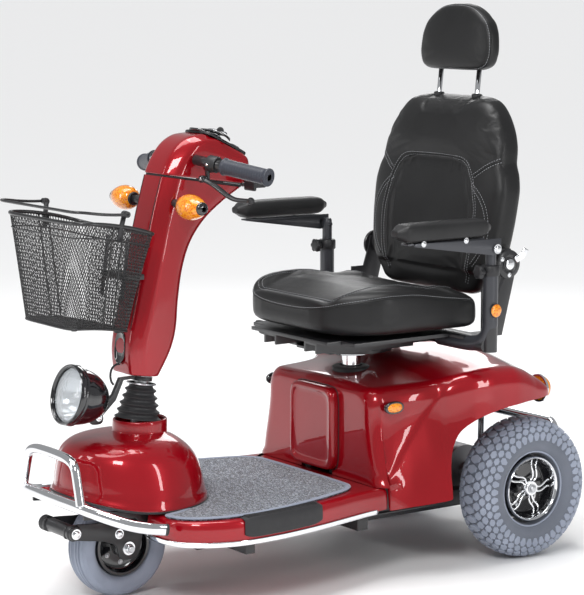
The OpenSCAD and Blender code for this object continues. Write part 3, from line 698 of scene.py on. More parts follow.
def rear_body():
    count = 64
    rows = []
    for scale in (0.3, 0.5, 0.7, 0.85, 0.95, 1.0):
        rows.append([Vector((p.x, 71, p.z)) for p in body_skin_row(70, count, 34, 14, scale)])
    for k in range(1, 11):
        a = k / 10 * pi / 2
        y = 71 + 34 * (1 - cos(a))
        row = body_skin_row(y, count, 34 * (1 - sin(a)), 14 * (1 - min(1, sin(a) * 1.05)))
        rows.append([Vector((p.x, y, p.z)) for p in row])
    for y in [106 + 4 * k for k in range(31)] + [229, 231, 233, 235, 237, 239, 242, 246] + list(range(250,
            550, 5)):
        rows.append(body_skin_row(y, count))
    for scale, y in ((0.985, 551.5), (0.9, 552), (0.7, 552), (0.4, 552)):
        rows.append([Vector((p.x, y, p.z)) for p in body_skin_row(551, count, 0, 0, scale, 384)])
    for row in rows:
        for p in row:
            lip = smoothstep(236, 210, p.z) if p.z >= 209 else 0
            near = lip * (1 - smoothstep(96, 150, p.y)) * smoothstep(120, 200, p.x)
            p.x += 9 * near * near
            p.y -= 5 * near * near * (1 - smoothstep(75, 100, p.y)) * 0.2
    full = [row + [Vector((-p.x, p.y, p.z)) for p in reversed(row[:-1])] for row in rows]
    skin = loft("rear_body_shell", full, RED, closed=False, caps=False)
    cut_hole(skin, Vector((0, POST_Y)), 33)
    thicken(skin, 4)
    sharp_by_angle(skin, 50)
    return place(skin, "chassis", "red_paint", "rear_body")


def cut_hole(obj, centre, radius):
    """Opens a round hole in the top of a skin for the seat post."""
    bm = bmesh.new()
    bm.from_mesh(obj.data)
    gone = [f for f in bm.faces if f.calc_center_median().z > 0.38
            and (f.calc_center_median().xy / MM - centre).length < radius + 4]
    bmesh.ops.delete(bm, geom=gone, context="FACES")
    for v in bm.verts:
        if v.is_boundary and v.co.z > 0.38 and (v.co.xy / MM - centre).length < radius + 12:
            d = v.co.xy / MM - centre
            v.co.xy = (centre + d.normalized() * (radius + 2)) * MM
    bm.to_mesh(obj.data)
    bm.free()


def rear_details():
    profile = [(69.5, 0), (60, 0), (55, 1.2), (51.5, 4), (50.2, 7.5), (50.6, 11), (52.4, 14), (54, 18),
        (54.2, 26)]
    rings = []
    for y, d in profile:
        rings.append([(x, y, 318 + z) for x, z in superellipse(84 - d, 97 - d, 0.27, 96)])
    cover = loft("battery_door", rings, RED)
    sharp_by_angle(cover, 60)
    place(cover, "chassis", "red_paint", "battery_cover")
    seam = tube("battery_door_seam", [(x, 70.5, 318 + z) for x, z in superellipse(85.5, 98.5, 0.27, 96)],
        0.9, RUBBER, closed=True, sides=8)
    place(seam, "chassis", "black_plastic")
    post_collar = lathe("seat_post_collar", (0, POST_Y, 437), (0, 0, 1), [(26, -8), (44, -8), (45, 6),
        (43, 9), (36, 11), (27, 11), (26, 8)], RUBBER, 64)
    place(post_collar, "chassis", "rubber_black")
    for side in (1, -1):
        name = "left" if side > 0 else "right"
        oval_lens = loft(f"side_marker_{name}", [[(side * x, MARKER_Y + y * s, MARKER_Z + z * s) for y,
            z in superellipse(22, 11, 0.9, 40)] for x, s in ((231, 0.98), (236, 1), (239, 0.86),
            (240.5, 0.6), (241, 0.2))], AMBER)
        surround = loft(f"side_marker_rim_{name}", [[(side * x, MARKER_Y + y * s, MARKER_Z + z * s * 1.1)
            for y, z in superellipse(22, 11, 0.9, 40)] for x, s in ((229, 1.2), (235.5, 1.2), (237.5, 1.12),
            (237.5, 1.0))], GLOSS_BLACK)
        place(oval_lens, "chassis", "amber_lens")
        place(surround, "chassis", "gloss_black")
        lamp = lathe(f"rear_lamp_{name}", (side * 225, 550, 386), (0, 1, 0), [(0, 2), (29, 2), (30, 6),
            (28, 14), (23, 22), (14, 28), (0, 30)], AMBER, 48)
        ring = lathe(f"rear_lamp_rim_{name}", (side * 225, 550, 386), (0, 1, 0), [(29, 0), (33, 0), (33, 6),
            (31, 8), (29.5, 7)], CHROME, 48)
        place(lamp, "chassis", "amber_lens")
        place(ring, "chassis", "chrome")
    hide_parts("side_markers")
    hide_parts("rear_lamps")
    hoop = catmull([(-182, 644, 232), (-178, 647, 262), (-165, 649, 280), (-145, 650, 284), (-60, 650, 284),
        (60, 650, 284), (145, 650, 284), (165, 649, 280), (178, 647, 262), (182, 644, 232)], 8)
    parts = [tube("hoop", hoop, 12, CHROME, sides=24)]
    for side in (1, -1):
        leg = catmull([(side * 90, 578, 119), (side * 90, 612, 121), (side * 90, 636, 140), (side * 90, 645,
            170), (side * 90, 648, 272)], 8)
        parts.append(tube("leg", leg, 11, CHROME, sides=20))
        parts.append(lathe("cap", (side * 182, 644, 232), (0, 0.05, -1), [(12.4, -6), (13, -4), (13, 1),
            (11, 3), (0, 3.5)], RUBBER, 32))
    place(join("rear_bumper_tube", parts), "chassis", "chrome", "rear_bumper")


# ------------------------------------------------------------------ foot pan

def foot_pan():
    outline = smooth_outline(whole([(x, 96 if y > 60 else y) for x, y in PAN_HALF]), 55, 3)
    if sum(a.x * b.y - b.x * a.y for a, b in zip(outline, outline[1:] + outline[:1])) < 0:
        outline = outline[::-1]
    levels = [(160, 3), (160, 0.8), (163, 0), (186, 0), (197, 0.8), (203, 3), (206.5, 6.5), (208, 12),
        (208.2, 20)]
    place(slab("foot_pan", outline, levels, RED), "chassis", "red_paint", "floor_pan")
    mat = smooth_outline(whole(MAT_HALF), 40, 3)
    if sum(a.x * b.y - b.x * a.y for a, b in zip(mat, mat[1:] + mat[:1])) < 0:
        mat = mat[::-1]
    place(slab("foot_carpet", mat, [(208, 0), (212, 0), (213, 1.5), (213.4, 6)], CARPET), "chassis",
        "carpet", "floor_mat")
    edge = inset(mat, 3)
    section = [(7 * cos(a), 2.3 * sin(a)) for a in [k * pi / 6 for k in range(12)]]
    path = [(p.x, p.y, 212.5) for p in edge]
    place(sweep("carpet_binding", path, section, (0, 0, 1), BINDING, closed=True), "chassis", "carpet")
    parts = []
    half = smooth_outline(PAN_HALF[1:] + [(200, 66), (122, -200)], 55, 3)
    rim = [p for p in half if p.x > 121 and p.y < 64 and not (p.x < 236 and p.y > -440)]
    rim.sort(key=lambda p: atan2(p.y + 200, p.x - 100))
    strip = [(2.9, -5.5), (3.2, -4), (3.4, 0), (3.2, 4), (2.9, 5.5), (0.4, 5.5), (0.4, -5.5)]
    for side in (1, -1):
        path = [(side * p.x, p.y, 158.5) for p in rim]
        parts.append(sweep("strip", path, [(a * side, b) for a, b in strip], (0, 0, 1), CHROME))
    place(join("chrome_edge_strip", parts), "chassis", "chrome", "edge_trim")


def pan_side(y):
    return curve_at([(-470, 205), (-405, 282), (-350, 301), (-300, 305), (-225, 301), (-130, 286),
        (-48, 267), (30, 248)], y, 1)


def side_pads():
    parts = []
    for side in (1, -1):
        rings = []
        for k in range(41):
            s = k / 40
            y = -335 + 215 * s
            end = 1 - (abs(2 * s - 1)) ** 10
            x = pan_side(y)
            low, high = 168 + 7 * (1 - end), 214 - 5 * (1 - end)
            ring = [(x + 0.4, low), (x + 3 + 2 * end, low + 2), (x + 3 + 2 * end, 190), (x + 2.5 + 2 * end,
                200), (x + 1 + end, 208), (x - 4, high - 1), (x - 10, high), (x - 18, high - 0.5),
                (x - 22, high - 2), (x - 22, 208.5), (x - 8, 208.5), (x + 0.4, 204)]
            rings.append([(side * a, y, b) for a, b in ring])
        body = loft("pad", rings, RUBBER)
        sharp_by_angle(body, 45)
        parts.append(body)
        for rib in range(5):
            path = []
            for k in range(33):
                y = -326 + 197 * k / 32
                path.append((side * (pan_side(y) - 4 - rib * 3.6), y, 213.4 + (0.5 if rib else -0.6)))
            parts.append(tube("rib", path, 0.9, RUBBER, sides=8))
    place(join("step_pads", parts), "chassis", "step_rubber", "side_step_pads")


# ------------------------------------------------------------------ cowl and front bumper

COWL = [(214, 172, -437), (228, 168.5, -437), (245, 166, -437.3), (275, 161, -440), (305, 153, -443),
    (326, 142, -448), (341, 127, -451), (351, 110, -450), (357, 90, -442), (360, 73, -424),
    (361.5, 63, -411), (364, 61, -409), (380, 60.6, -408), (386, 59.5, -408), (388, 57, -408)]


def cowl():
    n = 120
    rings = []
    for k in range(57):
        f = k / 56 * (len(COWL) - 1)
        i = min(int(f), len(COWL) - 2)
        t = f - i
        p0, p1, p2, p3 = (Vector(COWL[min(max(j, 0), len(COWL) - 1)]) for j in (i - 1, i, i + 1, i + 2))
        row = 0.5 * (2 * p1 + (p2 - p0) * t + (2 * p0 - 5 * p1 + 4 * p2 - p3) * t * t
            + (3 * p1 - p0 - 3 * p2 + p3) * t ** 3)
        z, r, mid = row
        ring = []
        for j in range(n):
            a = 2 * pi * j / n
            front = max(0.0, cos(a))
            lift = 30 * front ** 2 * (1 - smoothstep(214, 262, z))
            rear = smoothstep(0.2, 0.9, -cos(a))
            lip = 4.0 * (1 - smoothstep(214, 238, z)) * (0.35 + 0.65 * rear)
            groove = 2.2 * math_bell(a, 0.42, 0.09) * smoothstep(225, 250, z) * (1 - smoothstep(330, 352,
                z))
            rr = min(r + lip - groove, 172)
            ring.append((rr * sin(a), mid - rr * cos(a), z + lift))
        rings.append(ring)
    shell = loft("front_cowl_dome", rings, RED, caps=False)
    thicken(shell, 4)
    sharp_by_angle(shell, 55)
    place(shell, "chassis", "red_paint", "front_cowl")
    lip_ring = [Vector(p) + Vector((0, 0, -0.5)) for p in rings[0]]
    bead = tube("cowl_edge_bead", lip_ring, 2.4, RUBBER, closed=True, sides=10)
    place(bead, "chassis", "rubber_black")


def math_bell(a, centre, width):
    """A bump on each side of the front, at the given angle from it."""
    d = abs(atan2(sin(a), cos(a))) - centre
    return 2.718 ** (-(d / width) ** 2)


def flat_tube(name, path, up, wide, high, mat):
    section = [(wide * power(cos(t), 0.85), high * power(sin(t), 0.85)) for t in [2 * pi * k / 24
        for k in range(24)]]
    return sweep(name, path, section, up, mat)


def bumper():
    parts = []
    lower = catmull([(-236, -488, 195), (-228, -520, 200), (-205, -558, 208), (-170, -597, 223),
        (-128, -625, 236), (-60, -631, 238), (0, -632, 238), (60, -631, 238), (128, -625, 236),
        (170, -597, 223), (205, -558, 208), (228, -520, 200), (236, -488, 195)], 8)
    parts.append(flat_tube("lower", lower, (0, 0.15, 1), 8.5, 12.5, CHROME))
    hoop = round_corners([(-126, -631, 244), (-112, -630, 290), (-98, -629, 334), (0, -630, 338),
        (98, -629, 334), (112, -630, 290), (126, -631, 244)], 4)
    parts.append(tube("hoop", hoop, 10.5, CHROME, sides=24))
    for side in (1, -1):
        end = Vector((side * 236, -488, 195))
        out = Vector((side * 0.24, 0.95, -0.15))
        parts.append(lathe("cap", end, out, [(0, -2), (12.6, -2), (13, 0), (12.6, 2.5), (10, 3.6), (0, 4)],
            RUBBER, 32))
        bracket = [(side * 111, y, z) for y, z in ((-616, 224), (-480, 214), (-400, 160), (-330, 150),
            (-330, 118), (-410, 128), (-490, 196), (-616, 208))]
        parts.append(plate("bracket", bracket, 6, BLACK_STEEL, 1.2))
        parts.append(bolt("bracket_bolt", (side * 114, -350, 134), (side, 0, 0), 7, 5, CHROME))
        parts.append(bolt("bracket_bolt2", (side * 114, -590, 216), (side, 0, 0), 6, 5, CHROME))
    place(join("front_bumper_tubes", parts), "chassis", "chrome", "front_bumper")


# ------------------------------------------------------------------ wheels

def tyre_profile(r0, r1, w, count=40, lower=0.0):
    h = (r1 - r0) / 2
    return [(r0 + h + (h - lower) * power(cos(a), 0.72), (w / 2 - lower * 0.4) * power(sin(a), 0.72))
        for a in [2 * pi * k / count for k in range(count)]]


def tyre_surface(r0, r1, w, along, lower):
    """The radius and the sideways place on the tyre's section; along is 0 at the crown and 1 at the rim."""
    a = along * pi
    h = (r1 - r0) / 2
    return r0 + h + (h - lower) * power(cos(a), 0.72), (w / 2 - lower * 0.4) * power(sin(a), 0.72)


def rear_tyre(side, name):
    r0, r1, w, cut = REAR_RIM_R, REAR_TYRE_R, REAR_TYRE_W, 4.4
    middle = Vector((side * REAR_WHEEL.x, REAR_WHEEL.y, REAR_WHEEL.z))
    # The carcass between the tread blocks uses the darkened rubber: painted shade in the grooves.
    parts = [lathe("carcass", middle, (1, 0, 0), tyre_profile(r0, r1, w, 56, cut), TYRE_GROOVE_SHADE, 120)]
    verts, faces = [], []

    def point(theta, along, lift):
        r, x = tyre_surface(r0, r1, w, abs(along), cut - lift)
        return (middle.x + x * (1 if along >= 0 else -1), middle.y + r * sin(theta),
            middle.z + r * cos(theta))

    around = 42
    columns = [(0, 0.058, 0.0), (0.125, 0.055, 0.5), (-0.125, 0.055, 0.5), (0.245, 0.055, 0.0),
        (-0.245, 0.055, 0.0), (0.365, 0.052, 0.5), (-0.365, 0.052, 0.5), (0.47, 0.046, 0.0),
        (-0.47, 0.046, 0.0)]
    for along, reach, shift in columns:
        for k in range(around):
            theta = 2 * pi * (k + shift) / around
            step = 2 * pi / around * 0.46
            hexagon = [(-step, 0), (-step * 0.45, reach), (step * 0.45, reach), (step, 0),
                (step * 0.45, -reach), (-step * 0.45, -reach)]
            base = len(verts)
            for lift, size in ((-1.0, 1.0), (3.4, 0.95), (4.2, 0.86)):
                verts += [point(theta + a * size, along + b * size, lift) for a, b in hexagon]
            for ring in (0, 1):
                faces += [(base + ring * 6 + i, base + ring * 6 + (i + 1) % 6, base + ring * 6 + 6
                    + (i + 1) % 6, base + ring * 6 + 6 + i) for i in range(6)]
            faces.append(tuple(base + 12 + i for i in range(6)))
            faces.append(tuple(base + i for i in range(6)))
    blocks = new_object("blocks", verts, faces, TYRE)
    parts.append(sharp_by_angle(blocks, 30))
    for out in (1, -1):
        for reach, x, thick in ((100, 44.0, 1.6), (88, 38.0, 2.2)):
            ring = [(middle.x + out * x, middle.y + reach * sin(t), middle.z + reach * cos(t))
                for t in [2 * pi * k / 96 for k in range(96)]]
            parts.append(tube("bead", ring, thick, TYRE, closed=True, sides=8))
    place(join(f"rear_tyre_{name}_tread", parts), f"rear_wheel_{name}", "tyre_grey", f"rear_tyre_{name}")


def rear_rim(side, name):
    middle = Vector((side * REAR_WHEEL.x, REAR_WHEEL.y, REAR_WHEEL.z))
    axis = Vector((side, 0, 0))
    dish = lathe("dish", middle, axis, [(10, -50), (24, -50), (24, -38), (60, -38), (68, -42), (75, -44),
        (75, -8), (76, 0), (75, 20), (75, 34), (72, 34), (69, 26), (65, 6), (56, -2), (30, -4), (10, -4)],
        GLOSS_BLACK, 96)
    lip = lathe("lip", middle, axis, [(75.3, 30), (76.5, 35), (76, 40), (74, 42), (71, 40), (69.5, 35),
        (68, 27), (70, 27)], CHROME, 96)
    parts = [dish, lip]
    for k in range(SPOKES):
        for twist in (-1, 1):
            start = 2 * pi * k / SPOKES + pi / 10
            along, across = Vector((0, sin(start), cos(start))), Vector((0, cos(start), -sin(start)))
            path = []
            for i in range(17):
                f = i / 16
                shift = twist * (4.5 + 3.5 * f) + 5 * sin(2 * pi * f) * side
                path.append(middle + axis * (27 + 4 * sin(pi * f * 0.9) - 7 * f * f)
                    + along * (14 + 56 * f) + across * shift)
            section = [(2.5 * cos(t), 2.0 * sin(t)) for t in [2 * pi * j / 12 for j in range(12)]]
            parts.append(sweep("spoke", path, section, axis, CHROME))
    parts.append(lathe("hub", middle, axis, [(0, 8), (20, 8), (22, 18), (21, 27), (18, 34), (16, 37),
        (0, 38)], CHROME, 64))
    parts.append(bolt("hub_bolt", middle + axis * 38, axis, 8.5, 6, STEEL))
    parts.append(lathe("axle", middle - axis * 50, -axis, [(0, 0), (10, 0), (10, 138), (0, 138)], STEEL,
        32))
    for k in range(5):
        a = 2 * pi * k / 5 + pi / 10 + pi / 5
        parts.append(bolt("lug", middle + axis * -3.5 + Vector((0, 46 * sin(a), 46 * cos(a))), axis, 4.5, 4,
            STEEL))
    place(join(f"rear_rim_{name}_wheel", parts), f"rear_wheel_{name}", "rim_black", f"rear_rim_{name}")


def front_wheel():
    middle = FRONT_WHEEL
    profile = []
    r0, r1, w = FRONT_RIM_R, FRONT_TYRE_R, FRONT_TYRE_W
    for k in range(121):
        along = -1 + 2 * k / 120
        r, x = tyre_surface(r0, r1, w, abs(along), 0)
        x *= 1 if along >= 0 else -1
        for groove in (-22, -13.5, -4.8, 4.8, 13.5, 22):
            if r > 96 and abs(x - groove) < 1.6:
                r -= 3.2
                break
        profile.append((r, x))
    parts = [lathe("carcass", middle, (1, 0, 0), profile, TYRE, 144)]
    verts, faces = [], []
    for out in (1, -1):
        for k in range(54):
            theta = 2 * pi * k / 54
            base = len(verts)
            for lift, size in ((-1, 1.0), (1.6, 0.85)):
                for da, along in ((-0.036, 0.30), (0.036, 0.30), (0.036, 0.44), (-0.036, 0.44)):
                    r, x = tyre_surface(r0, r1, w, 0.37 + (along - 0.37) * size, -lift * 0.6)
                    t = theta + da * size
                    verts.append((out * min(x, 34), middle.y + r * sin(t), middle.z + r * cos(t)))
            faces += [(base + i, base + (i + 1) % 4, base + 4 + (i + 1) % 4, base + 4 + i)
                for i in range(4)]
            faces += [tuple(base + 4 + i for i in range(4)), tuple(base + i for i in range(4))]
    parts.append(sharp_by_angle(new_object("lugs", verts, faces, TYRE), 30))
    place(join("front_tyre_ribbed", parts), "front_wheel", "tyre_grey", "front_tyre")
    rim = lathe("front_rim_dish", middle, (1, 0, 0), [(9, -36), (22, -36), (24, -34), (24, -13), (27, -12),
        (50, -12), (54, -14), (57, -25), (59, -27), (65, -27), (65.6, -25), (65.6, 25), (65, 27), (59, 27),
        (57, 25), (54, 14), (50, 12), (27, 12), (24, 13), (24, 34), (22, 36), (9, 36)], GLOSS_BLACK, 96)
    parts = [rim]
    for out in (1, -1):
        parts.append(lathe("cap", middle + Vector((out * 33, 0, 0)), (out, 0, 0), [(10, 0), (21, 0),
            (21, 1.5), (19, 3.5), (10, 3.6)], STEEL, 48))
        for k in range(6):
            a = pi * k / 3
            parts.append(bolt("stud", (out * 12, middle.y + 38 * sin(a), middle.z + 38 * cos(a)),
                (out, 0, 0), 4.2, 4, STEEL))
    place(join("front_rim_dished", parts), "front_wheel", "rim_black", "front_rim")


# ------------------------------------------------------------------ steering, boot and headlight

def fork():
    parts = []
    for side in (1, -1):
        outline = round_loop([(-498, 252), (-503, 175), (-624, 186), (-629, 168), (-626, 152), (-500, 132),
            (-492, 92), (-469, 86), (-446, 92), (-436, 118), (-412, 252)], 3)
        parts.append(plate("side", [(side * 45, y, z) for y, z in outline], 6, BLACK_STEEL, 1.2))
        tip = Vector((side * 48, -610, 168))
        if side > 0:
            parts.append(lathe("collar", tip, (side, 0, 0), [(0, 0), (17, 0), (17.5, 2), (17.5, 10),
                (15, 12), (15, 19), (12, 20), (0, 20)], BLACK_STEEL, 48))
        else:
            profile = [(0, 0)]
            for k in range(7):
                profile += [(17.3, k * 2.9), (17.3, k * 2.9 + 1.8), (16, k * 2.9 + 2.3)]
            parts.append(lathe("ribbed_end", tip, (side, 0, 0), profile + [(0, 20)], RUBBER, 48))
    parts.append(lathe("cross_tube", (-42, -610, 168), (1, 0, 0), [(0, 0), (15, 0), (15, 84), (0, 84)],
        BLACK_STEEL, 40))
    parts.append(rounded_box("crown", (-42, -498, 240), (42, -412, 252), 2.5, BLACK_STEEL))
    place(join("fork_plates", parts), "steering", "painted_steel_black", "front_fork")
    parts = []
    for side in (1, -1):
        centre = Vector((side * 48, FRONT_WHEEL.y, FRONT_WHEEL.z))
        parts.append(lathe("washer", centre, (side, 0, 0), [(8, 0), (15, 0), (15, 1.6), (8, 1.6)], CHROME,
            40))
        parts.append(bolt("nut", centre + Vector((side * 1.6, 0, 0)), (side, 0, 0), 11, 7, CHROME))
        parts.append(lathe("thread", centre, (side, 0, 0), [(0, 0), (7.4, 0), (7.4, 15), (6.4, 16),
            (0, 16)], STEEL, 32))
        parts.append(bolt("tip_bolt", (side * 68, -610, 168), (side, 0, 0), 8.5, 5, CHROME))
        parts.append(bolt("plate_bolt", (side * 48, -492, 148), (side, 0, 0), 8, 5, CHROME))
    parts.append(lathe("axle", (-48, FRONT_WHEEL.y, FRONT_WHEEL.z), (1, 0, 0), [(0, 0), (8, 0), (8, 96),
        (0, 96)], STEEL, 32))
    place(join("fork_fasteners", parts), "steering", "chrome", "fork_bolts")


def round_loop(points, rounds):
    pts = [Vector(p) for p in points]
    for _ in range(rounds):
        out = []
        for a, b in zip(pts, pts[1:] + pts[:1]):
            out += [a * 0.78 + b * 0.22, a * 0.22 + b * 0.78]
        pts = out
    return pts


def boot():
    profile = []
    folds = 5
    for k in range(folds * 12 + 1):
        f = k / (folds * 12)
        wave = 0.5 + 0.5 * cos(2 * pi * f * folds)
        profile.append((30 + 21 * (1 - f) - 6.5 * (1 - wave ** 1.5) + 0.6, -42 + 78 * f))
    inner = [(r - 4, h) for r, h in reversed(profile)]
    piece = lathe("steering_boot_bellows", NECK, RAKE, profile + inner, RUBBER, 96)
    for polygon in piece.data.polygons:
        polygon.use_smooth = True
    place(piece, "steering", "rubber_black", "steering_boot")
    clamp = lathe("boot_clamp", NECK, RAKE, [(30, 33), (32.4, 33), (33, 34.5), (32.4, 36), (30, 36)], STEEL,
        64)
    place(clamp, "steering", "steel")


def headlight():
    centre = LAMP
    forward = Vector((0, -cos(radians(LAMP_TILT)), sin(radians(LAMP_TILT))))
    shell = lathe("shell", centre, forward, [(60.5, 4), (62, 6.2), (65, 6.2), (66.2, 4), (66.4, -3),
        (65, -8), (63.6, -12), (62, -24), (59, -38), (54.5, -52), (48, -64), (39, -75.5), (28, -84),
        (15, -90), (0, -92), (0, -88), (14, -86), (26, -80), (37, -71), (46, -60), (53, -47), (57.5, -30),
        (59.5, -10)], GLOSS_BLACK, 96)
    bezel = lathe("bezel", centre, forward, [(59.4, 3), (60.6, 7), (63, 8.6), (65.4, 7.6), (66.2, 5)],
        GLOSS_BLACK, 96)
    bowl = lathe("reflector", centre, forward, [(58.5, 0), (54, -14), (46, -28), (34, -40), (20, -48),
        (6, -51), (6, -47), (20, -44), (33, -36), (45, -25), (52.6, -12), (57, 0)], CHROME, 96)
    bulb = lathe("bulb", centre, forward, [(0, -50), (6, -50), (6, -34), (9, -28), (9, -20), (6, -13),
        (0, -11)], GLASS, 32)
    parts = [shell, bezel, bowl, bulb]
    for side in (1, -1):
        cheek = round_loop([(-541, 405), (-541, 388), (-512, 387), (-507, 403), (-519, 416), (-531, 416)],
            2)
        parts.append(plate("cheek", [(side * 12.7, y, z) for y, z in cheek], 4.4, BLACK_STEEL, 0.8))
        parts.append(bolt("clamp_nut", (side * 15, -520, 402), (side, 0, 0), 5.5, 3.5, CHROME))
    parts.append(lathe("visor_band", centre, forward, [(64.6, -11), (66.6, -11), (66.9, -8), (66.6, -5.5),
        (65, -5.5)], GLOSS_BLACK, 96))
    place(join("headlight_lamp", parts), "headlight", "gloss_black", "headlight_housing")
    lens = lathe("headlight_glass", centre, forward, [(0, 12), (15, 11.4), (30, 9.2), (45, 5.4), (55, 1.4),
        (59, -1), (59, -4), (55, -2), (45, 2), (30, 6), (15, 8.4), (0, 9)], GLASS, 96)
    place(lens, "headlight", "lens_clear", "headlight_lens")


# ------------------------------------------------------------------ tiller and console

COLUMN = [(-453, 492, -381, 484, 54), (-457, 540, -352, 536, 56), (-450, 590, -337, 583, 57),
    (-434, 660, -331, 649, 58), (-418, 730, -320, 714, 58), (-403, 795, -299, 771, 58), (-389, 850, -263,
    819, 59), (-377, 893, -213, 858, 60), (-369.5, 918, -169, 885, 61)]
HEAD = [(-368, 922.5, -160, 893.5, 61), (-352, 955, -148, 914, 62), (-327, 985, -147, 934, 62),
    (-297, 1002, -149, 946, 60), (-264, 1006, -153, 951, 56)]


def tiller_section(row, count=72):
    """A ring with a flat front panel, chamfers and full round rear corners."""
    front = Vector((0, row[0], row[1]))
    rear = Vector((0, row[2], row[3]))
    span = (rear - front).length
    along = (rear - front) / span
    w = row[4]
    cage = [(0, 0), (29, 0), (36, 0.8), (41, 3.2), (w - 9, 16), (w - 4, 23), (w - 0.6, 31), (w, 40),
        (w, span * 0.55), (w, span - 24), (w - 2, span - 15), (w - 8, span - 7), (w - 17, span - 2),
        (w - 28, span), (0, span)]
    half = round_corners([Vector((a, b)) for a, b in cage], 1)
    ring = list(half) + [Vector((-p.x, p.y)) for p in reversed(half[1:-1])]
    return [front + along * p.y + Vector((p.x, 0, 0)) for p in ring]


def tiller_shell(name, rows, closed_top):
    dense = []
    for i in range(len(rows) - 1):
        p0, p1, p2, p3 = (Vector(rows[min(max(j, 0), len(rows) - 1)]) for j in (i - 1, i, i + 1, i + 2))
        for k in range(5):
            t = k / 5
            dense.append(0.5 * ((2 * p1) + (p2 - p0) * t + (2 * p0 - 5 * p1 + 4 * p2 - p3) * t * t
                + (3 * p1 - p0 - 3 * p2 + p3) * t ** 3))
    dense.append(Vector(rows[-1]))
    rings = [tiller_section(row) for row in dense]

    def inner(ring, d):
        middle = sum(ring, Vector()) / len(ring)
        return [p + (middle - p).normalized() * d for p in ring]

    first = [inner(rings[0], 3.2), inner(rings[0], 0.9)]
    last = [inner(rings[-1], 0.9), inner(rings[-1], 3.2)] if not closed_top else [inner(rings[-1], 1.6),
        inner(rings[-1], 5)]
    rings = first + [[p + (rings[1][i] - rings[0][i]).normalized() * 1.2 for i,
        p in enumerate(rings[0])]] + rings[1:] + last
    shell = loft(name, rings, RED, caps=True)
    return sharp_by_angle(shell, 60)


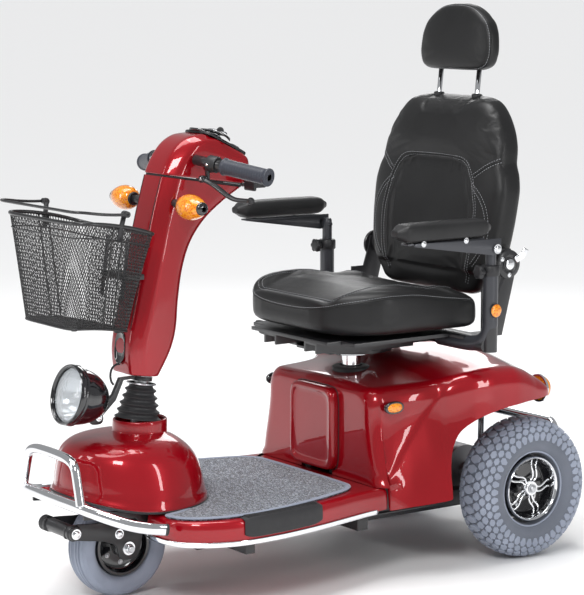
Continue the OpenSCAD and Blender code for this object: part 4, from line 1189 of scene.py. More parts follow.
def tiller():
    column = tiller_shell("tiller_column", COLUMN, False)
    place(column, "tiller", "red_paint", "tiller_cover")
    head = tiller_shell("tiller_head", HEAD, True)
    place(head, "tiller", "red_paint", "console_head")
    core = [(x * 0.97, y, z) for x, y, z in [tuple(p) for p in tiller_section((-366, 918, -166, 886, 60))]]
    rings = [[Vector(p) + Vector((0, 0.25, 1)) * h for p in core] for h in (-1.5, 4)]
    place(loft("head_seam_gasket", rings, RUBBER), "tiller", "black_plastic")
    up = Vector((0, 0.1, 0.995)).normalized()
    mid = Vector((0, -457.2, 548))
    rings = []
    for out, size in ((-2.0, 1.04), (0.6, 1.04), (1.4, 1.0), (1.2, 0.94), (-0.6, 0.88), (-1.4, 0.5)):
        rings.append([mid + Vector((x * size, -out, 0)) + up * z * size for x, z in superellipse(20, 34,
            0.8, 48)])
    place(loft("tiller_front_port", rings, GLOSS_BLACK), "tiller", "gloss_black")
    front = []
    for row in COLUMN[2:]:
        front.append(Vector((0, row[0] - 0.4, row[1])))
    for side in (1, -1):
        path = catmull([p + Vector((side * 34, 0, 0)) for p in front], 4)
        place(tube(f"tiller_panel_line_{'left' if side > 0 else 'right'}", path, 0.7, RUBBER, sides=6),
            "tiller", "black_plastic")
    tilt = radians(26.57)
    normal = Vector((0, sin(tilt), cos(tilt)))
    ahead = Vector((0, cos(tilt), -sin(tilt)))
    centre = Vector((0, -207, 982))

    def panel_point(x, y, z):
        return centre + Vector((x, 0, 0)) + ahead * y + normal * z

    rings = [[panel_point(x, y, h) for x, y in superellipse(54 - d, 60 - d, 0.35, 80)] for h,
        d in ((-1, 0), (3, 0), (4, 1.2), (4, 4), (3.2, 5), (3.2, 12))]
    face = loft("face", rings, BLACK_PLASTIC)
    sharp_by_angle(face, 60)
    parts = [face]
    for x in (-31, 31):
        rings = [[panel_point(x + a * s, 28 + b * s, h) for a, b in superellipse(9, 12, 0.5, 32)] for h,
            s in ((3, 1), (8, 1), (9, 0.85), (9.2, 0.3))]
        parts.append(loft("rocker", rings, GREY_PLASTIC))
    rings = [[panel_point(a * s, -50 + b * s, h) for a, b in superellipse(22, 15, 0.5, 40)] for h,
        s in ((3, 1.08), (6.5, 1.08), (7.5, 1), (6.8, 0.92), (6.8, 0.3))]
    parts.append(loft("gauge", rings, GLOSS_BLACK))
    rings = [[panel_point(-34 + a * s, -18 + b * s, h) for a, b in superellipse(7, 7, 1, 32)] for h,
        s in ((3, 1), (6, 1), (7, 0.8), (7.2, 0.3))]
    parts.append(loft("horn_button", rings, AMBER))
    for k in range(12):
        a = 2 * pi * k / 12
        mark = panel_point(19 * cos(a), -6 + 19 * sin(a), 3.2)
        parts.append(lathe("mark", mark, normal, [(0, 0), (1.2, 0), (1.1, 0.6), (0, 0.7)], WHITE_MARK, 12))
    place(join("console_face", parts), "tiller", "black_plastic", "console_panel")
    profile = [(0, -8), (6, -8), (6, 4.6), (14, 4.6), (14, 6.5)]
    dial = lathe("dial", panel_point(0, -6, 0), normal, profile + [(12.4, 15), (11, 16), (0, 16.2)],
        BLACK_PLASTIC, 48)
    flutes = [tube("flute", [panel_point(13.4 * cos(a), -6 + 13.4 * sin(a), h) for h in (6, 14.6)], 1.1,
        BLACK_PLASTIC, sides=8) for a in [2 * pi * k / 16 for k in range(16)]]
    pointer = tube("pointer", [panel_point(0, -2, 16.4), panel_point(0, 4.5, 16.2)], 0.8, WHITE_MARK,
        sides=8)
    place(join("speed_knob", [dial, pointer] + flutes), "speed_dial", "black_plastic", "speed_dial")
    stem = lathe("stem", panel_point(36, -22, 0), normal, [(0, -8), (4, -8), (4, 6), (0, 6)], STEEL, 24)
    bow = lathe("bow", panel_point(35, -22, 20), (1, 0, 0), [(0, 0), (9, 0), (9.6, 0.8), (9.6, 2.2), (9, 3),
        (0, 3)], BLACK_PLASTIC, 40)
    blade = tube("blade", [panel_point(36, -22, 5), panel_point(36, -22, 14)], 2.2, STEEL, sides=12)
    place(join("key", [stem, bow, blade]), "ignition_key", "steel", "ignition_key")
    visor_path = catmull([(-60, -208, 992), (-54, -216, 1002), (-38, -227, 1009), (0, -231, 1011),
        (38, -227, 1009), (54, -216, 1002), (60, -208, 992)], 8)
    bar = flat_tube("bar", visor_path, (0, 0.15, 1), 10, 3.6, GLOSS_BLACK)
    bulge = flat_tube("bulge", catmull([(-44, -212, 1004), (0, -214, 1009), (44, -212, 1004)], 8),
        (0, 0.15, 1), 8, 5, GREY_PLASTIC)
    place(join("console_visor", [bar, bulge]), "tiller", "gloss_black")


def handlebars():
    parts = []
    grips = []
    signals = []
    for side in (1, -1):
        inner = Vector((side * 139, -276, 942))
        outer = Vector((side * 251, -235, 924))
        along = (outer - inner).normalized()
        root = inner - along * 78
        parts.append(tube("bar", [root, inner + along * 4], 11, BLACK_STEEL, sides=28))
        parts.append(lathe("collar", inner - along * 40, along, [(11, 0), (17, 0), (18, 2), (18, 22),
            (17, 24), (11, 24)], BLACK_PLASTIC, 48))
        parts.append(bolt("collar_bolt", inner - along * 28 + Vector((0, -17.5, 0)), (0, -1, 0), 3.2, 2.6,
            CHROME))
        profile = [(11, 0), (18.6, 0), (19.2, 1.5), (19.2, 4), (17.4, 6)]
        length = (outer - inner).length
        for k in range(15):
            h = 9 + k * (length - 22) / 15
            profile += [(17.0, h), (17.2, h + 1), (17.2, h + 4.4), (17.0, h + 5.4)]
        profile += [(17, length - 8), (19.6, length - 5), (19.9, length - 2), (19, length - 0.4),
            (15, length), (0, length)]
        grips.append(lathe("grip", inner, along, profile, GRIP, 56))
        middle = Vector((side * 138, -358, 859))
        parts.append(tube("stalk", [(side * 62, -352, 862), (side * 80, -357, 860), (side * 100, -358,
            859)], 8.5, BLACK_PLASTIC, sides=24))
        parts.append(lathe("base", middle + Vector((side * -42, 0, 0)), (side, 0, 0), [(8, 0), (13, 0),
            (15, 2), (15, 4), (13, 5)], BLACK_PLASTIC, 40))
        signals.append(lathe("egg", middle, (side, 0, 0), [(0, -38), (12, -38), (19, -34), (24, -26),
            (27, -15), (28, -4), (26.6, 8), (22.6, 22), (17.4, 34), (14, 39), (0, 39)], AMBER, 64))
        signals.append(lathe("cap", middle, (side, 0, 0), [(13.6, 38), (14.6, 40), (13.8, 43), (10, 46),
            (0, 47)], GLOSS_BLACK, 48))
    parts.append(rounded_box("brake_bracket", (94, -296, 906), (106, -290, 940), 1.5, BLACK_STEEL))
    parts.append(lathe("brake_pin", (100, -312.5, 914), (0, 1, 0), [(0, 0), (3.4, 0), (4, 0.8), (4, 17),
        (0, 17)], STEEL, 24))
    parts.append(rounded_box("thumb_bracket", (-9, -148, 908), (9, -122, 913), 1.5, BLACK_STEEL))
    parts.append(lathe("thumb_pin", (0, -132, 880), (0, 0, 1), [(0, 0), (3.4, 0), (4, 0.8), (4, 29),
        (0, 29)], STEEL, 24))
    place(join("handlebar_tubes", parts), "tiller", "painted_steel_black", "handlebar")
    place(join("hand_grips", grips), "tiller", "grip_rubber", "handlebar_grips")
    place(join("indicator_eggs", signals), "tiller", "amber_lens", "turn_signals")
    socket_parts = [lathe("plug", (62.8, -262, 938), (1, 0, 0), [(0, 0), (15, 0), (15, 4), (13.6, 6),
        (10, 6.4), (9.4, 4), (4, 4), (3.6, 7), (0, 7)], BLACK_PLASTIC, 48)]
    for dy in (-1, 1):
        socket_parts.append(lathe("screw", (65, -262 + dy * 12, 938 + dy * 3), (1, 0, 0), [(0, 0), (2.2, 0),
            (2, 2.4), (0, 2.6)], STEEL, 16))
    place(join("charging_socket", socket_parts), "tiller", "black_plastic", "charger_socket")
    lever = catmull([(100, -306, 914), (116, -299, 908), (132, -290, 898), (150, -280, 884),
        (168, -270, 874), (188, -260, 872), (206, -252, 872)], 6)
    blade = flat_tube("blade", lever, (0, -0.6, 0.8), 6, 3.4, BLACK_STEEL)
    ball = lathe("ball", (206, -252, 872), (0.9, 0.42, 0), [(0, -8), (4.6, -6.6), (7.4, -3), (8, 0),
        (7.4, 3), (4.6, 6.6), (0, 8)], BLACK_PLASTIC, 32)
    pivot = lathe("pivot", (100, -311, 914), (0, 1, 0), [(4.2, 0), (7.6, 0), (8, 1), (8, 9), (7.6, 10),
        (4.2, 10)], BLACK_STEEL, 32)
    place(join("brake_handle", [blade, ball, pivot]), "brake_lever", "painted_steel_black", "brake_lever")
    parts = [rounded_box("cross", (-84, -136, 885), (84, -128, 901), 2.5, BLACK_PLASTIC),
        lathe("hub", (0, -132, 882.5), (0, 0, 1), [(4.2, 0), (8.4, 0), (9, 1), (9, 20), (8.4, 21),
        (4.2, 21)], BLACK_PLASTIC, 40)]
    for side in (1, -1):
        low, high = sorted((side * 76, side * 84))
        parts.append(rounded_box("arm", (low, -178, 885), (high, -130, 901), 2.5, BLACK_PLASTIC))
        low, high = sorted((side * 77, side * 118))
        parts.append(rounded_box("paddle", (low, -184, 882), (high, -176, 904), 3.5, BLACK_PLASTIC))
    place(join("thumb_lever", parts), "throttle_lever", "black_plastic", "throttle_lever")


# ------------------------------------------------------------------ basket

BASKET = [(616, 598, 108, -640, -490), (690, 672, 124, -644, -478), (770, 742, 143, -648, -464),
    (842, 806, 160, -652, -450)]


def basket_point(u, v, out=0.0):
    """A point of the basket's wall; u runs round it, v from the bottom to the rim."""
    k = min(int(v * 3), 2)
    f = v * 3 - k
    front_z, rear_z, half, front, rear = (a + (b - a) * f for a, b in zip(BASKET[k], BASKET[k + 1]))
    half, front, rear = half + out, front - out, rear + out
    mid, reach = (front + rear) / 2, (rear - front) / 2
    a = 2 * pi * u
    x, y = half * power(cos(a), 0.3), mid + reach * power(sin(a), 0.3)
    g = (y - front) / (rear - front)
    return Vector((x, y, front_z + (rear_z - front_z) * g * g))


def ring_by_length(v, count, shift=0.0, out=0.0):
    """Evenly spaced points round the basket at one height."""
    fine = [basket_point(k / 720, v, out) for k in range(720)]
    steps = [(b - a).length for a, b in zip(fine, fine[1:] + fine[:1])]
    total = sum(steps)
    points, walked, i = [], 0.0, 0
    for k in range(count):
        goal = (k + shift) / count * total
        while walked + steps[i] < goal:
            walked += steps[i]
            i += 1
        t = (goal - walked) / steps[i]
        points.append(fine[i].lerp(fine[(i + 1) % 720], t))
    return points


def wires(name, segments, radius, mat):
    """Many thin straight wires in one mesh, four-sided."""
    verts, faces = [], []
    for a, b in segments:
        axis, u, v = basis(b - a)
        base = len(verts)
        for p in (a, b):
            verts += [p + radius * (cos(t) * u + sin(t) * v) for t in (0.0, pi / 2, pi, 3 * pi / 2)]
        faces += [(base + i, base + (i + 1) % 4, base + 4 + (i + 1) % 4, base + 4 + i) for i in range(4)]
        faces += [tuple(base + 3 - i for i in range(4)), tuple(base + 4 + i for i in range(4))]
    return new_object(name, verts, faces, mat)


def basket():
    around, up = 140, 31
    grid = [ring_by_length(j / up, around, 0.5 * (j % 2)) for j in range(up + 1)]
    segments = []
    for j in range(up):
        for i in range(around):
            other = i + (1 if j % 2 else -1)
            segments.append((grid[j][i], grid[j + 1][i]))
            segments.append((grid[j][i], grid[j + 1][other % around]))
    half, front, rear = BASKET[0][2], BASKET[0][3], BASKET[0][4]
    mid, reach = (front + rear) / 2, (rear - front) / 2

    def floor_z(y):
        g = (y - front) / (rear - front)
        return 616 - 18 * g * g

    steps = 17
    for k in range(-steps, steps + 1):
        for slope in (1, -1):
            line = []
            for m in range(61):
                y = mid + reach * (-1 + 2 * m / 60)
                x = k * 13 + slope * (y - mid)
                if abs(x / half) ** 6.6 + abs((y - mid) / reach) ** 6.6 < 1:
                    line.append(Vector((x, y, floor_z(y))))
            if len(line) > 1:
                segments += list(zip(line, line[1:]))
    parts = [wires("mesh", segments, 0.75, WIRE)]
    parts.append(tube("rim", ring_by_length(1.0, 160), 4.2, WIRE, closed=True, sides=16))
    parts.append(tube("floor_rim", ring_by_length(0.0, 160), 2.6, WIRE, closed=True, sides=12))
    parts.append(tube("middle_wire", ring_by_length(0.86, 160, 0, 1.0), 1.6, WIRE, closed=True, sides=8))
    for offset in (-12, 12):
        wall = []
        for side in (1, -1):
            leg = []
            for k in range(13):
                v = 1 - k / 12
                row = ring_by_length(v, 400, 0, 1.6)
                near = min((p for p in row if p.x * side > 0), key=lambda p: abs(p.y - (-552 + offset)))
                leg.append(near)
            wall.append(leg)
        under = [Vector((x, -552 + offset, floor_z(-552 + offset) - 2)) for x in (90, 45, 0, -45, -90)]
        path = wall[0] + under + wall[1][::-1]
        parts.append(tube("band", path, 2.0, WIRE, sides=10))
    for x in (-80, 80):
        for y in (-615, -510):
            parts.append(lathe("foot", (x, y, floor_z(y) - 2), (0, 0, -1), [(0, -2), (7, -2), (7, 2),
                (6, 5), (0, 5.5)], RUBBER, 24))
    for side in (1, -1):
        parts.append(lathe("clip_knob", (side * 163, -541, 858), (side, 0, 0), [(0, 0), (7, 0), (7.6, 1.5),
            (7.6, 8), (6.6, 9.6), (0, 10)], BLACK_PLASTIC, 32))
        parts.append(flat_tube("clip_band", [(side * 158, -549, 800), (side * 161, -547, 826),
            (side * 165, -541, 856)], (0, 1, 0), 2.2, 6, BLACK_PLASTIC))
        parts.append(flat_tube("bracket_arm", [(side * 42, -476, 660), (side * 42, -470, 700),
            (side * 42, -464, 742), (side * 42, -458, 790)], (1, 0, 0), 2, 7, BLACK_STEEL))
    parts.append(rounded_box("bracket", (-55, -468, 700), (55, -426, 712), 1.5, BLACK_STEEL))
    place(join("wire_basket", parts), "tiller", "wire_black", "basket")
    handle = catmull([(178, -541, 858), (177, -570, 859), (175, -604, 862), (169, -640, 867),
        (150, -658, 868), (90, -659, 868), (0, -659, 868), (-90, -659, 868), (-150, -658, 868),
        (-169, -640, 867), (-175, -604, 862), (-177, -570, 859), (-178, -541, 858)], 8)
    bow = tube("bow", handle, 3.2, WIRE, sides=14)
    eyes = [lathe("eye", (side * 174.5, -541, 858), (side, 0, 0), [(2, 0), (6.5, 0), (6.5, 6), (2, 6)],
        WIRE, 24) for side in (1, -1)]
    place(join("basket_carry_handle", [bow] + eyes), "basket_handle", "wire_black", "basket_handle")


# ------------------------------------------------------------------ padding

def distance_to(path, point):
    best = 1e9
    for a, b in zip(path, path[1:]):
        ab = b - a
        t = max(0.0, min(1.0, (point - a).dot(ab) / max(ab.length_squared, 1e-9)))
        best = min(best, (a + ab * t - point).length)
    return best


def puff(obj, seams, held, cap, pressure=4.0, size=5.0):
    """Blows a closed form up like stuffing: held along its seams and wherever held(point) says."""
    remesh = obj.modifiers.new("remesh", "REMESH")
    remesh.mode = "VOXEL"
    remesh.voxel_size = size * MM
    apply_modifiers(obj)
    start = [v.co.copy() for v in obj.data.vertices]
    weights = []
    for co in start:
        p = co / MM
        near = min((distance_to(path, p) for path in seams), default=99)
        weights.append(max(held(p), 1 - smoothstep(2.5, 15, near)))
    group = obj.vertex_groups.new(name="held")
    for i, w in enumerate(weights):
        group.add([i], w, "REPLACE")
    cloth = obj.modifiers.new("stuffing", "CLOTH")
    cloth.settings.quality = 5
    cloth.settings.mass = 0.3
    cloth.settings.tension_stiffness = cloth.settings.compression_stiffness = 12
    cloth.settings.bending_stiffness = 1.5
    cloth.settings.use_pressure = True
    cloth.settings.uniform_pressure_force = pressure
    cloth.settings.vertex_group_mass = "held"
    cloth.settings.effector_weights.gravity = 0
    scene = bpy.context.scene
    for number in range(1, 21):
        scene.frame_set(number)
    graph = bpy.context.evaluated_depsgraph_get()
    moved = [v.co.copy() for v in obj.evaluated_get(graph).data.vertices]
    obj.modifiers.clear()
    scene.frame_set(1)
    obj.vertex_groups.clear()
    for vertex, before, after in zip(obj.data.vertices, start, moved):
        step = after - before
        if step.length > cap * MM:
            step = step.normalized() * cap * MM
        vertex.co = before + step
    smooth = obj.modifiers.new("smooth", "SMOOTH")
    smooth.factor = 0.5
    smooth.iterations = 2
    apply_modifiers(obj)
    subdivide(obj, 1)
    for polygon in obj.data.polygons:
        polygon.use_smooth = True
    return obj


def on_surface(obj, path, direction, lift=0.0):
    """Drops a path onto a piece along a direction."""
    out = []
    direction = Vector(direction).normalized()
    for p in path:
        hit, place_, normal, _ = obj.ray_cast((p - direction * 200) * MM, direction)
        if hit:
            out.append(place_ / MM + normal * lift)
    return out


def nearest_on(obj, path, lift=0.0):
    out = []
    for p in path:
        hit, place_, normal, _ = obj.closest_point_on_mesh(p * MM)
        out.append(place_ / MM + normal * lift)
    return out


def resample(path, step):
    """Points at even steps along a path."""
    out, left = [path[0]], step
    for a, b in zip(path, path[1:]):
        length = (b - a).length
        walked = 0.0
        while length - walked >= left:
            walked += left
            out.append(a.lerp(b, walked / length))
            left = step
        left -= length - walked
    return out


def stitches(name, obj, path, offset, step=6.4, long=4.2, thick=0.62):
    """A row of sewn stitches beside a path on a piece."""
    path = resample(path, step)
    verts, faces = [], []
    for i in range(len(path) - 1):
        along = (path[i + 1] - path[i]).normalized()
        hit, spot, normal, _ = obj.closest_point_on_mesh(path[i] * MM)
        side = normal.cross(along).normalized()
        hit, spot, normal, _ = obj.closest_point_on_mesh((path[i] + side * offset) * MM)
        middle = spot / MM
        side = normal.cross(along).normalized()
        base = len(verts)
        for t, size, up in ((-0.5, 0.35, -0.35), (-0.3, 1, 0.2), (0.0, 1.05, 0.35), (0.3, 1, 0.2),
                (0.5, 0.35, -0.35)):
            centre = middle + along * long * t + normal * up
            verts += [centre + thick * size * (cos(a) * side + sin(a) * normal) for a in [2 * pi * k / 6
                for k in range(6)]]
        for ring in range(4):
            faces += [(base + ring * 6 + k, base + ring * 6 + (k + 1) % 6, base + ring * 6 + 6
                + (k + 1) % 6, base + ring * 6 + 6 + k) for k in range(6)]
        faces += [tuple(base + 5 - k for k in range(6)), tuple(base + 24 + k for k in range(6))]
    return new_object(name, verts, faces, STITCH)


def sewn(name, obj, path, rows=(-4.5, 4.5)):
    """The groove line of a seam, with a row of stitches on each side."""
    path = [Vector(p) for p in path]
    line = nearest_on(obj, resample(path, 5), 0.1)
    parts = [tube("line", line, 1.0, VINYL, sides=8)]
    parts += [stitches("row", obj, path, offset) for offset in rows]
    return parts


CUSHION_ROWS = [(-20, 96, 570, 612), (-13, 134, 559, 629), (6, 167, 551, 641), (34, 199, 546, 649),
    (70, 224, 545, 654), (112, 237, 544, 657), (160, 239, 544, 656), (250, 240, 544, 644),
    (330, 239, 544, 634), (354, 234, 548, 626), (361, 222, 560, 612)]


def seat_cushion():
    rings = []
    for k in range(41):
        y = -20 + 380 * (k / 40) ** 1.35
        w, z0, z1 = (curve_at(CUSHION_ROWS, y, c) for c in (1, 2, 3))
        ring = []
        for x, z in superellipse(w, (z1 - z0) / 2, 0.36, 64):
            p = Vector((x, y, (z0 + z1) / 2 + z))
            if z > 0:
                inside = 1 - smoothstep(132, 168, abs(x))
                inside *= smoothstep(-20, 8, y) * (1 - smoothstep(322, 350, y))
                p.z -= 15 * inside
            ring.append(p)
        rings.append(ring)
    pad = loft("seat_pad", rings, VINYL)
    x = 168
    inner = catmull([(-x, 330, 610), (-x, 250, 620), (-x, 120, 634), (-x, 40, 636), (-x + 22, 14, 634),
        (-x + 60, 8, 632), (0, 6, 632), (x - 60, 8, 632), (x - 22, 14, 634), (x, 40, 636), (x, 120, 634),
        (x, 250, 620), (x, 330, 610)], 8)
    across = catmull([(-x, 196, 622), (-80, 200, 620), (0, 202, 620), (80, 200, 620), (x, 196, 622)], 6)
    skirt = catmull([(-238, 340, 612), (-240, 250, 625), (-240, 177, 637), (-234, 94, 638), (-214, 46, 631),
        (-180, 8, 622), (-136, -14, 611), (-70, -22, 603), (0, -22, 601), (70, -22, 603), (136, -14, 611),
        (180, 8, 622), (214, 46, 631), (234, 94, 638), (240, 177, 637), (240, 250, 625), (238, 340, 612)],
        8)
    inner, across, skirt = ([Vector(p) for p in path] for path in (inner, across, skirt))
    puff(pad, [inner, skirt], lambda p: 1 - smoothstep(546, 562, p.z), 7)
    place(pad, "seat", "vinyl", "seat_cushion")
    parts = sewn("seat_seam", pad, on_surface(pad, inner, (0, 0, -1)))
    parts += sewn("seat_skirt", pad, nearest_on(pad, skirt), (4.5,))
    place(join("seat_pad_seams", parts), "seat", "vinyl")


BACK_ROWS = [(612, 150, 16), (622, 176, 26), (640, 188, 34), (662, 206, 40), (690, 221, 47), (731, 231, 50),
    (800, 239, 51), (850, 241, 51), (890, 233, 50), (918, 220, 49), (945, 218, 49), (975, 210, 48),
    (1010, 192, 45), (1038, 170, 41), (1058, 146, 34), (1066, 120, 24)]
PANEL = [(640, 146), (700, 160), (756, 169), (805, 169), (850, 158), (884, 145), (917, 119), (927, 80),
    (929, 0)]


def back_mid(z):
    return 428 + (z - 700) * 0.14


def backrest():
    rings = []
    for k in range(65):
        z = 612 + 454 * k / 64
        w, t = (curve_at(BACK_ROWS, z, c) for c in (1, 2))
        ring = []
        for x, y in superellipse(w, t, 0.5, 72):
            p = Vector((x, back_mid(z) + y, z))
            if y < 0:
                reach = curve_at(PANEL, z, 1) if z < 929 else 0
                p.y += 15 * smoothstep(0, 26, reach - abs(x)) * smoothstep(650, 690, z)
            if z < 662:
                p.y = max(p.y, 396)
            ring.append(p)
        rings.append(ring)
    pad = loft("back_pad", rings, VINYL)
    half = [Vector((x, back_mid(z) - 60, z)) for z, x in PANEL]
    panel = catmull(half + [Vector((-p.x, p.y, p.z)) for p in reversed(half[:-1])], 6)
    seams = [on_surface(pad, panel, (0, 1, 0))]
    for side in (1, -1):
        for points in (((215, 926), (190, 913), (166, 897), (149, 886)), ((150, 868), (182, 842),
                (204, 806), (211, 756), (194, 712), (166, 676))):
            path = catmull([(side * x, back_mid(z) - 60, z) for x, z in points], 6)
            seams.append(on_surface(pad, path, (0, 1, 0)))
    puff(pad, seams, lambda p: 0.6 * smoothstep(20, 44, p.y - back_mid(p.z)), 7)
    place(pad, "backrest", "vinyl", "backrest_cushion")
    parts = []
    for path in seams:
        parts += sewn("seam", pad, path)
    place(join("back_pad_seams", parts), "backrest", "vinyl")


HEAD_ROWS = [(1129, 94, 16), (1136, 114, 26), (1149, 125, 29), (1172, 131, 30), (1205, 128, 30),
    (1235, 116, 29), (1256, 94, 26), (1271, 69, 22), (1280, 44, 15), (1283, 26, 8)]


def headrest():
    rings = []
    for k in range(33):
        z = 1129 + 154 * k / 32
        w, t = (curve_at(HEAD_ROWS, z, c) for c in (1, 2))
        rings.append([(x, 489 + (z - 1200) * 0.08 + y, z) for x, y in superellipse(w, t, 0.6, 56)])
    pad = loft("head_pad", rings, VINYL)
    side = []
    for k in range(61):
        a = 2 * pi * k / 60
        z = 1204 + 78 * power(sin(a), 0.8)
        w = curve_at(HEAD_ROWS, z, 1)
        side.append(Vector((w * (1 if cos(a) >= 0 else -1) * min(1, abs(cos(a)) * 2.2),
            489 + (z - 1200) * 0.08 - 13, z)))
    loop = nearest_on(pad, side)
    puff(pad, [loop], lambda p: 0.0, 4, 4.0, 4.0)
    place(pad, "headrest", "vinyl", "headrest_cushion")
    parts = sewn("side", pad, nearest_on(pad, side), (3.6,))
    place(join("head_pad_seams", parts), "headrest", "vinyl")
    parts = []
    for side_ in (1, -1):
        foot = Vector((side_ * 70.5, 483, 1068))
        lean = Vector((0, 10, 90)).normalized()
        parts.append(tube("post", [foot - lean * 90, foot + lean * 72], 6, CHROME, sides=28))
    place(join("head_posts", parts), "headrest", "chrome", "headrest_posts")
    parts = []
    for side_ in (1, -1):
        foot = Vector((side_ * 70.5, 483.4, 1068))
        parts.append(lathe("guide", foot, (0, 10, 90), [(6.4, -8), (12, -8), (13, 0), (12.6, 3), (10, 5),
            (6.4, 5)], BLACK_PLASTIC, 40))
    place(join("head_post_guides", parts), "backrest", "vinyl")


def arm_pads():
    for side in (1, -1):
        name = "left" if side > 0 else "right"
        rings = []
        for k in range(41):
            y = 51.5 + 266 * k / 40
            f = min(k, 40 - k) / 40 * 266
            w = 27.4 * min(1, (0.50 + 0.5 * smoothstep(0, 24, f)))
            t = 20.5 * min(1, (0.38 + 0.62 * smoothstep(0, 30, f)))
            ring = []
            for x, z in superellipse(w, t, 0.5, 48):
                low = 1 - smoothstep(-9, -5, z)
                ring.append((side * 312 + x * (1 - 0.10 * low), y, 791 + z))
            rings.append(ring)
        pad = loft(f"arm_pad_{name}_foam", rings, PAD_FOAM)
        line = [Vector((side * 312 + a * 26, y, 784.5)) for a in (-1, 1) for y in range(60, 311, 10)]
        seams = [line[:26], line[26:]]
        puff(pad, seams, lambda p: 1 - smoothstep(770, 776, p.z), 1.6, 3.0, 4.0)
        place(pad, f"armrest_{name}", "arm_pad_foam", f"arm_pad_{name}")
        from_cad(f"arm_bracket_{name}_plate", f"arm_bracket_{name}", 1.4, GREY_METAL, f"armrest_{name}",
            "grey_metal")
        bolts = [bolt("pivot_bolt", (side * 335, 327, 742), (side, 0, 0), 8, 5, CHROME)]
        for y in (120, 240):
            bolts.append(bolt("pad_bolt", (side * 330, y, 766), (side, 0, 0), 5, 3.5, CHROME))
        place(join(f"arm_bolts_{name}", bolts), f"armrest_{name}", "chrome")
        post = lathe(f"arm_post_{name}_tube", (side * ARM_X, ARM_Y, 545), (0, 0, 1), [(0, 0), (12, 0),
            (12, 196), (11.4, 206), (9, 210.5), (0, 211)], GREY_METAL, 48)
        place(post, f"arm_post_{name}", "grey_metal", f"arm_post_{name}")


# ------------------------------------------------------------------ seat frame

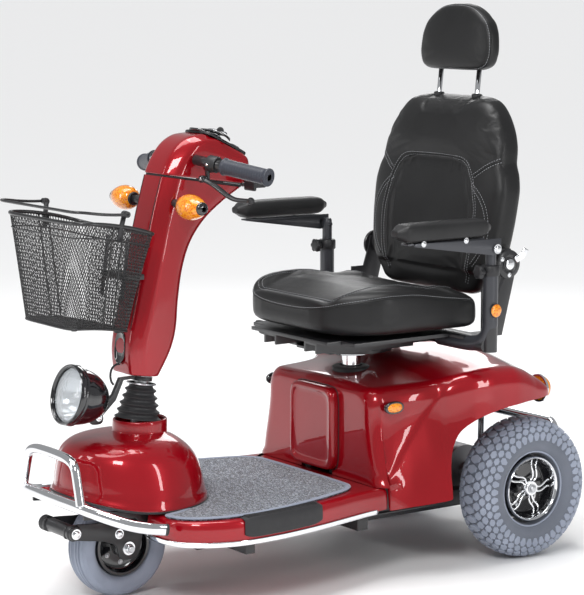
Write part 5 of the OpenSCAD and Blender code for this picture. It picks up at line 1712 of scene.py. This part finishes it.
def seat_frame():
    from_cad("seat_base_plates", "seat_base", 1.2, BLACK_STEEL, "seat", "painted_steel_black")
    parts = []
    for side in (1, -1):
        path = [Vector(p) for p in catmull([(side * 150, 315, 519), (side * 230, 315, 519),
            (side * 268, 316, 521), (side * 292, 319, 528), (side * 306, 324, 543), (side * ARM_X, ARM_Y,
            566), (side * ARM_X, ARM_Y, 600), (side * ARM_X, ARM_Y, 692)], 8)]
        parts.append(tube("arm_tube", path, 17.4, GREY_METAL, sides=32))
        parts.append(lathe("collar", (side * ARM_X, ARM_Y, 680), (0, 0, 1), [(13, 0), (20, 0), (21, 2),
            (21, 20), (19, 23), (13, 24)], BLACK_PLASTIC, 48))
        knob = Vector((side * ARM_X, 308, 690))
        parts.append(lathe("knob_stem", knob, (0, -1, 0), [(0, -4), (5, -4), (5, 8), (0, 8)], STEEL, 24))
        lobes = []
        for h, r in ((7, 12), (9, 15), (18, 15.5), (21, 13), (22, 6)):
            lobes.append([knob + Vector((0, -h, 0)) + Vector((r * (1 + 0.10 * cos(6 * a)) * cos(a), 0,
                r * (1 + 0.10 * cos(6 * a)) * sin(a))) for a in [2 * pi * k / 72 for k in range(72)]])
        parts.append(loft("knob", lobes, BLACK_PLASTIC))
        parts.append(lathe("reflector_back", (side * 328, 327, 602), (side, 0, 0), [(0, 0), (15, 0),
            (16, 1.5), (16, 4.5), (14.6, 5.5), (0, 5)], BLACK_PLASTIC, 48))
        parts.append(lathe("reflector", (side * 328, 327, 602), (side, 0, 0), [(0, 4), (14.5, 4), (14.5, 6),
            (12.8, 7.6), (0, 8)], AMBER, 48))
    place(join("arm_sockets", parts), "seat", "grey_metal")
    parts = []
    for side in (1, -1):
        centre = Vector((side * 251, 430, 692))
        parts.append(lathe("disc", centre, (side, 0, 0), [(0, -1), (31, -1), (33, 1), (33, 4), (30, 6),
            (22, 6.6), (20, 5), (0, 5)], BLACK_STEEL, 64))
        parts.append(lathe("boss", centre + Vector((side * 5, 0, 0)), (side, 0, 0), [(0, 0), (12, 0),
            (12.6, 1.2), (12, 4), (9, 5.4), (0, 5.6)], CHROME, 48))
        for a in (30, 150, 270):
            parts.append(bolt("pin", centre + Vector((side * 6.2, 25 * cos(radians(a)),
                25 * sin(radians(a)))), (side, 0, 0), 4, 2.6, CHROME))
        arm = catmull([(side * 258, 446, 700), (side * 266, 462, 712), (side * 268, 470, 726)], 6)
        parts.append(flat_tube("release", arm, (side, 0, 0), 8, 2.6, CHROME))
    place(join("recliner_discs", parts), "seat", "chrome")
    for name, node, width, mat, body, slot in (("backrest_frame_plates", "backrest_frame", 1.0, BLACK_STEEL,
            "backrest", "painted_steel_black"), ("swivel_plate_rails", "swivel_plate", 1.2, BLACK_STEEL,
            "seat_swivel", "painted_steel_black"), ("chassis_frame_tubes", "chassis_frame", 2.0,
            BLACK_STEEL, "chassis", "painted_steel_black"), ("battery_cases", "batteries", 3.0,
            BLACK_PLASTIC, "chassis", "battery_case"), ("transaxle_case", "transaxle", 1.5, ALLOY,
            "chassis", "cast_alloy"), ("drive_motor_case", "drive_motor", 2.0, STEEL, "chassis",
            "motor_case"), ("headlight_bracket_arm", "headlight_bracket", 0.8, BLACK_STEEL, "steering",
            "painted_steel_black"), ("tiller_frame_core", "tiller_frame", 1.0, BLACK_STEEL, "tiller",
            "painted_steel_black")):
        from_cad(name, node, width, mat, body, slot)
    post = lathe("seat_post_chromed", (0, POST_Y, 200), (0, 0, 1), [(0, 0), (21, 0), (22, 1), (22, 277),
        (56, 278), (58, 279.5), (58, 284.5), (56.5, 286), (0, 286)], CHROME, 64)
    place(post, "seat_post", "chrome", "seat_post")
    levers = [tube("rod", [(-116, 107, 512), (-190, 107, 513), (-262, 107, 514)], 4.8, BLACK_STEEL,
        sides=20), tube("link", [(-262, 107, 514), (-262, 102, 507), (-262, 98, 501)], 3.9, BLACK_STEEL,
        sides=16), lathe("boss", (-114, 97, 512), (0, 1, 0), [(3.7, 0), (6.6, 0), (7, 0.8), (7, 19.2),
        (6.6, 20), (3.7, 20)], BLACK_STEEL, 32)]
    for foot, way, long, r in (((-256, 107, 514), (-1, 0, 0.02), 44, 9), ((-270, 98, 501), (1, -0.13, 0),
            46, 8)):
        levers.append(lathe("knob", foot, way, [(0, 0), (r * 0.6, 0), (r * 0.9, 3), (r, 10),
            (r * 0.96, long - 12), (r * 0.8, long - 3), (r * 0.4, long), (0, long)], BLACK_PLASTIC, 40))
    place(join("release_lever", levers), "seat_levers", "painted_steel_black", "seat_levers")


def plain_nodes():
    """The nodes that keep their CAD mesh get their own materials."""
    for node, mat in (("seat_tube", BLACK_STEEL), ("steering_stem", STEEL), ("headlight_cable", RUBBER)):
        obj = NODES[node]
        for spot in obj.material_slots:
            spot.material = mat


# ------------------------------------------------------------------ scene

def area_light(name, place_at, aim, size, power_w, size_y=None):
    data = bpy.data.lights.new(name, "AREA")
    data.energy = power_w
    data.size = size
    if size_y:
        data.shape = "RECTANGLE"
        data.size_y = size_y
    obj = bpy.data.objects.new(name, data)
    obj.location = place_at
    obj.rotation_euler = (Vector(aim) - Vector(place_at)).to_track_quat("-Z", "Y").to_euler()
    bpy.context.scene.collection.objects.link(obj)
    return obj


def studio():
    mesh = bpy.data.meshes.new("floor")
    mesh.from_pydata([(-300, -300, 0), (300, -300, 0), (300, 300, 0), (-300, 300, 0)], [], [(0, 1, 2, 3)])
    floor = bpy.data.objects.new("floor", mesh)
    mat = material("studio_floor", (0.92, 0.92, 0.92), 0.85)
    mesh.materials.append(mat)
    bpy.context.scene.collection.objects.link(floor)
    world = bpy.data.worlds.new("studio")
    world.use_nodes = True
    world.node_tree.nodes["Background"].inputs["Color"].default_value = (0.97, 0.98, 1, 1)
    world.node_tree.nodes["Background"].inputs["Strength"].default_value = 0.36
    bpy.context.scene.world = world
    bpy.context.scene.view_settings.view_transform = "Standard"
    sun = bpy.data.lights.new("sky_panel", "SUN")
    sun.energy = 1.9
    sun.angle = radians(40)
    sky = bpy.data.objects.new("sky_panel", sun)
    sky.rotation_euler = (radians(14), radians(-8), 0)
    bpy.context.scene.collection.objects.link(sky)
    area_light("key", (2.6, -3.0, 3.4), (0, 0, 0.5), 1.2, 90)
    area_light("side_strip", (3.6, 0.9, 1.6), (0, 0.1, 0.5), 0.35, 30, size_y=2.4)
    area_light("front_strip", (-1.6, -4.0, 2.0), (0, -0.3, 0.5), 0.4, 30, size_y=2.6)
    area_light("top", (0, 0.2, 4.2), (0, 0.2, 0), 1.2, 40)
    area_light("rear", (-3.0, 2.6, 2.4), (0, 0, 0.6), 1.4, 25)
    camera = bpy.data.cameras.new("camera")
    camera.lens = 134.74
    camera.sensor_width = 36
    camera.clip_end = 1000
    view = bpy.data.objects.new("camera", camera)
    view.location = (4.1129, -2.9009, 1.3365)
    view.rotation_euler = (radians(90 - 8.1), 0, radians(54.8))
    bpy.context.scene.collection.objects.link(view)
    bpy.context.scene.camera = view


for build in (rear_body, rear_details, foot_pan, side_pads, cowl, bumper, front_wheel, fork, boot,
        headlight, tiller, handlebars, basket, seat_cushion, backrest, headrest, arm_pads, seat_frame,
        plain_nodes, studio):
    build()
for side_sign, side_name in ((1, "left"), (-1, "right")):
    rear_tyre(side_sign, side_name)
    rear_rim(side_sign, side_name)
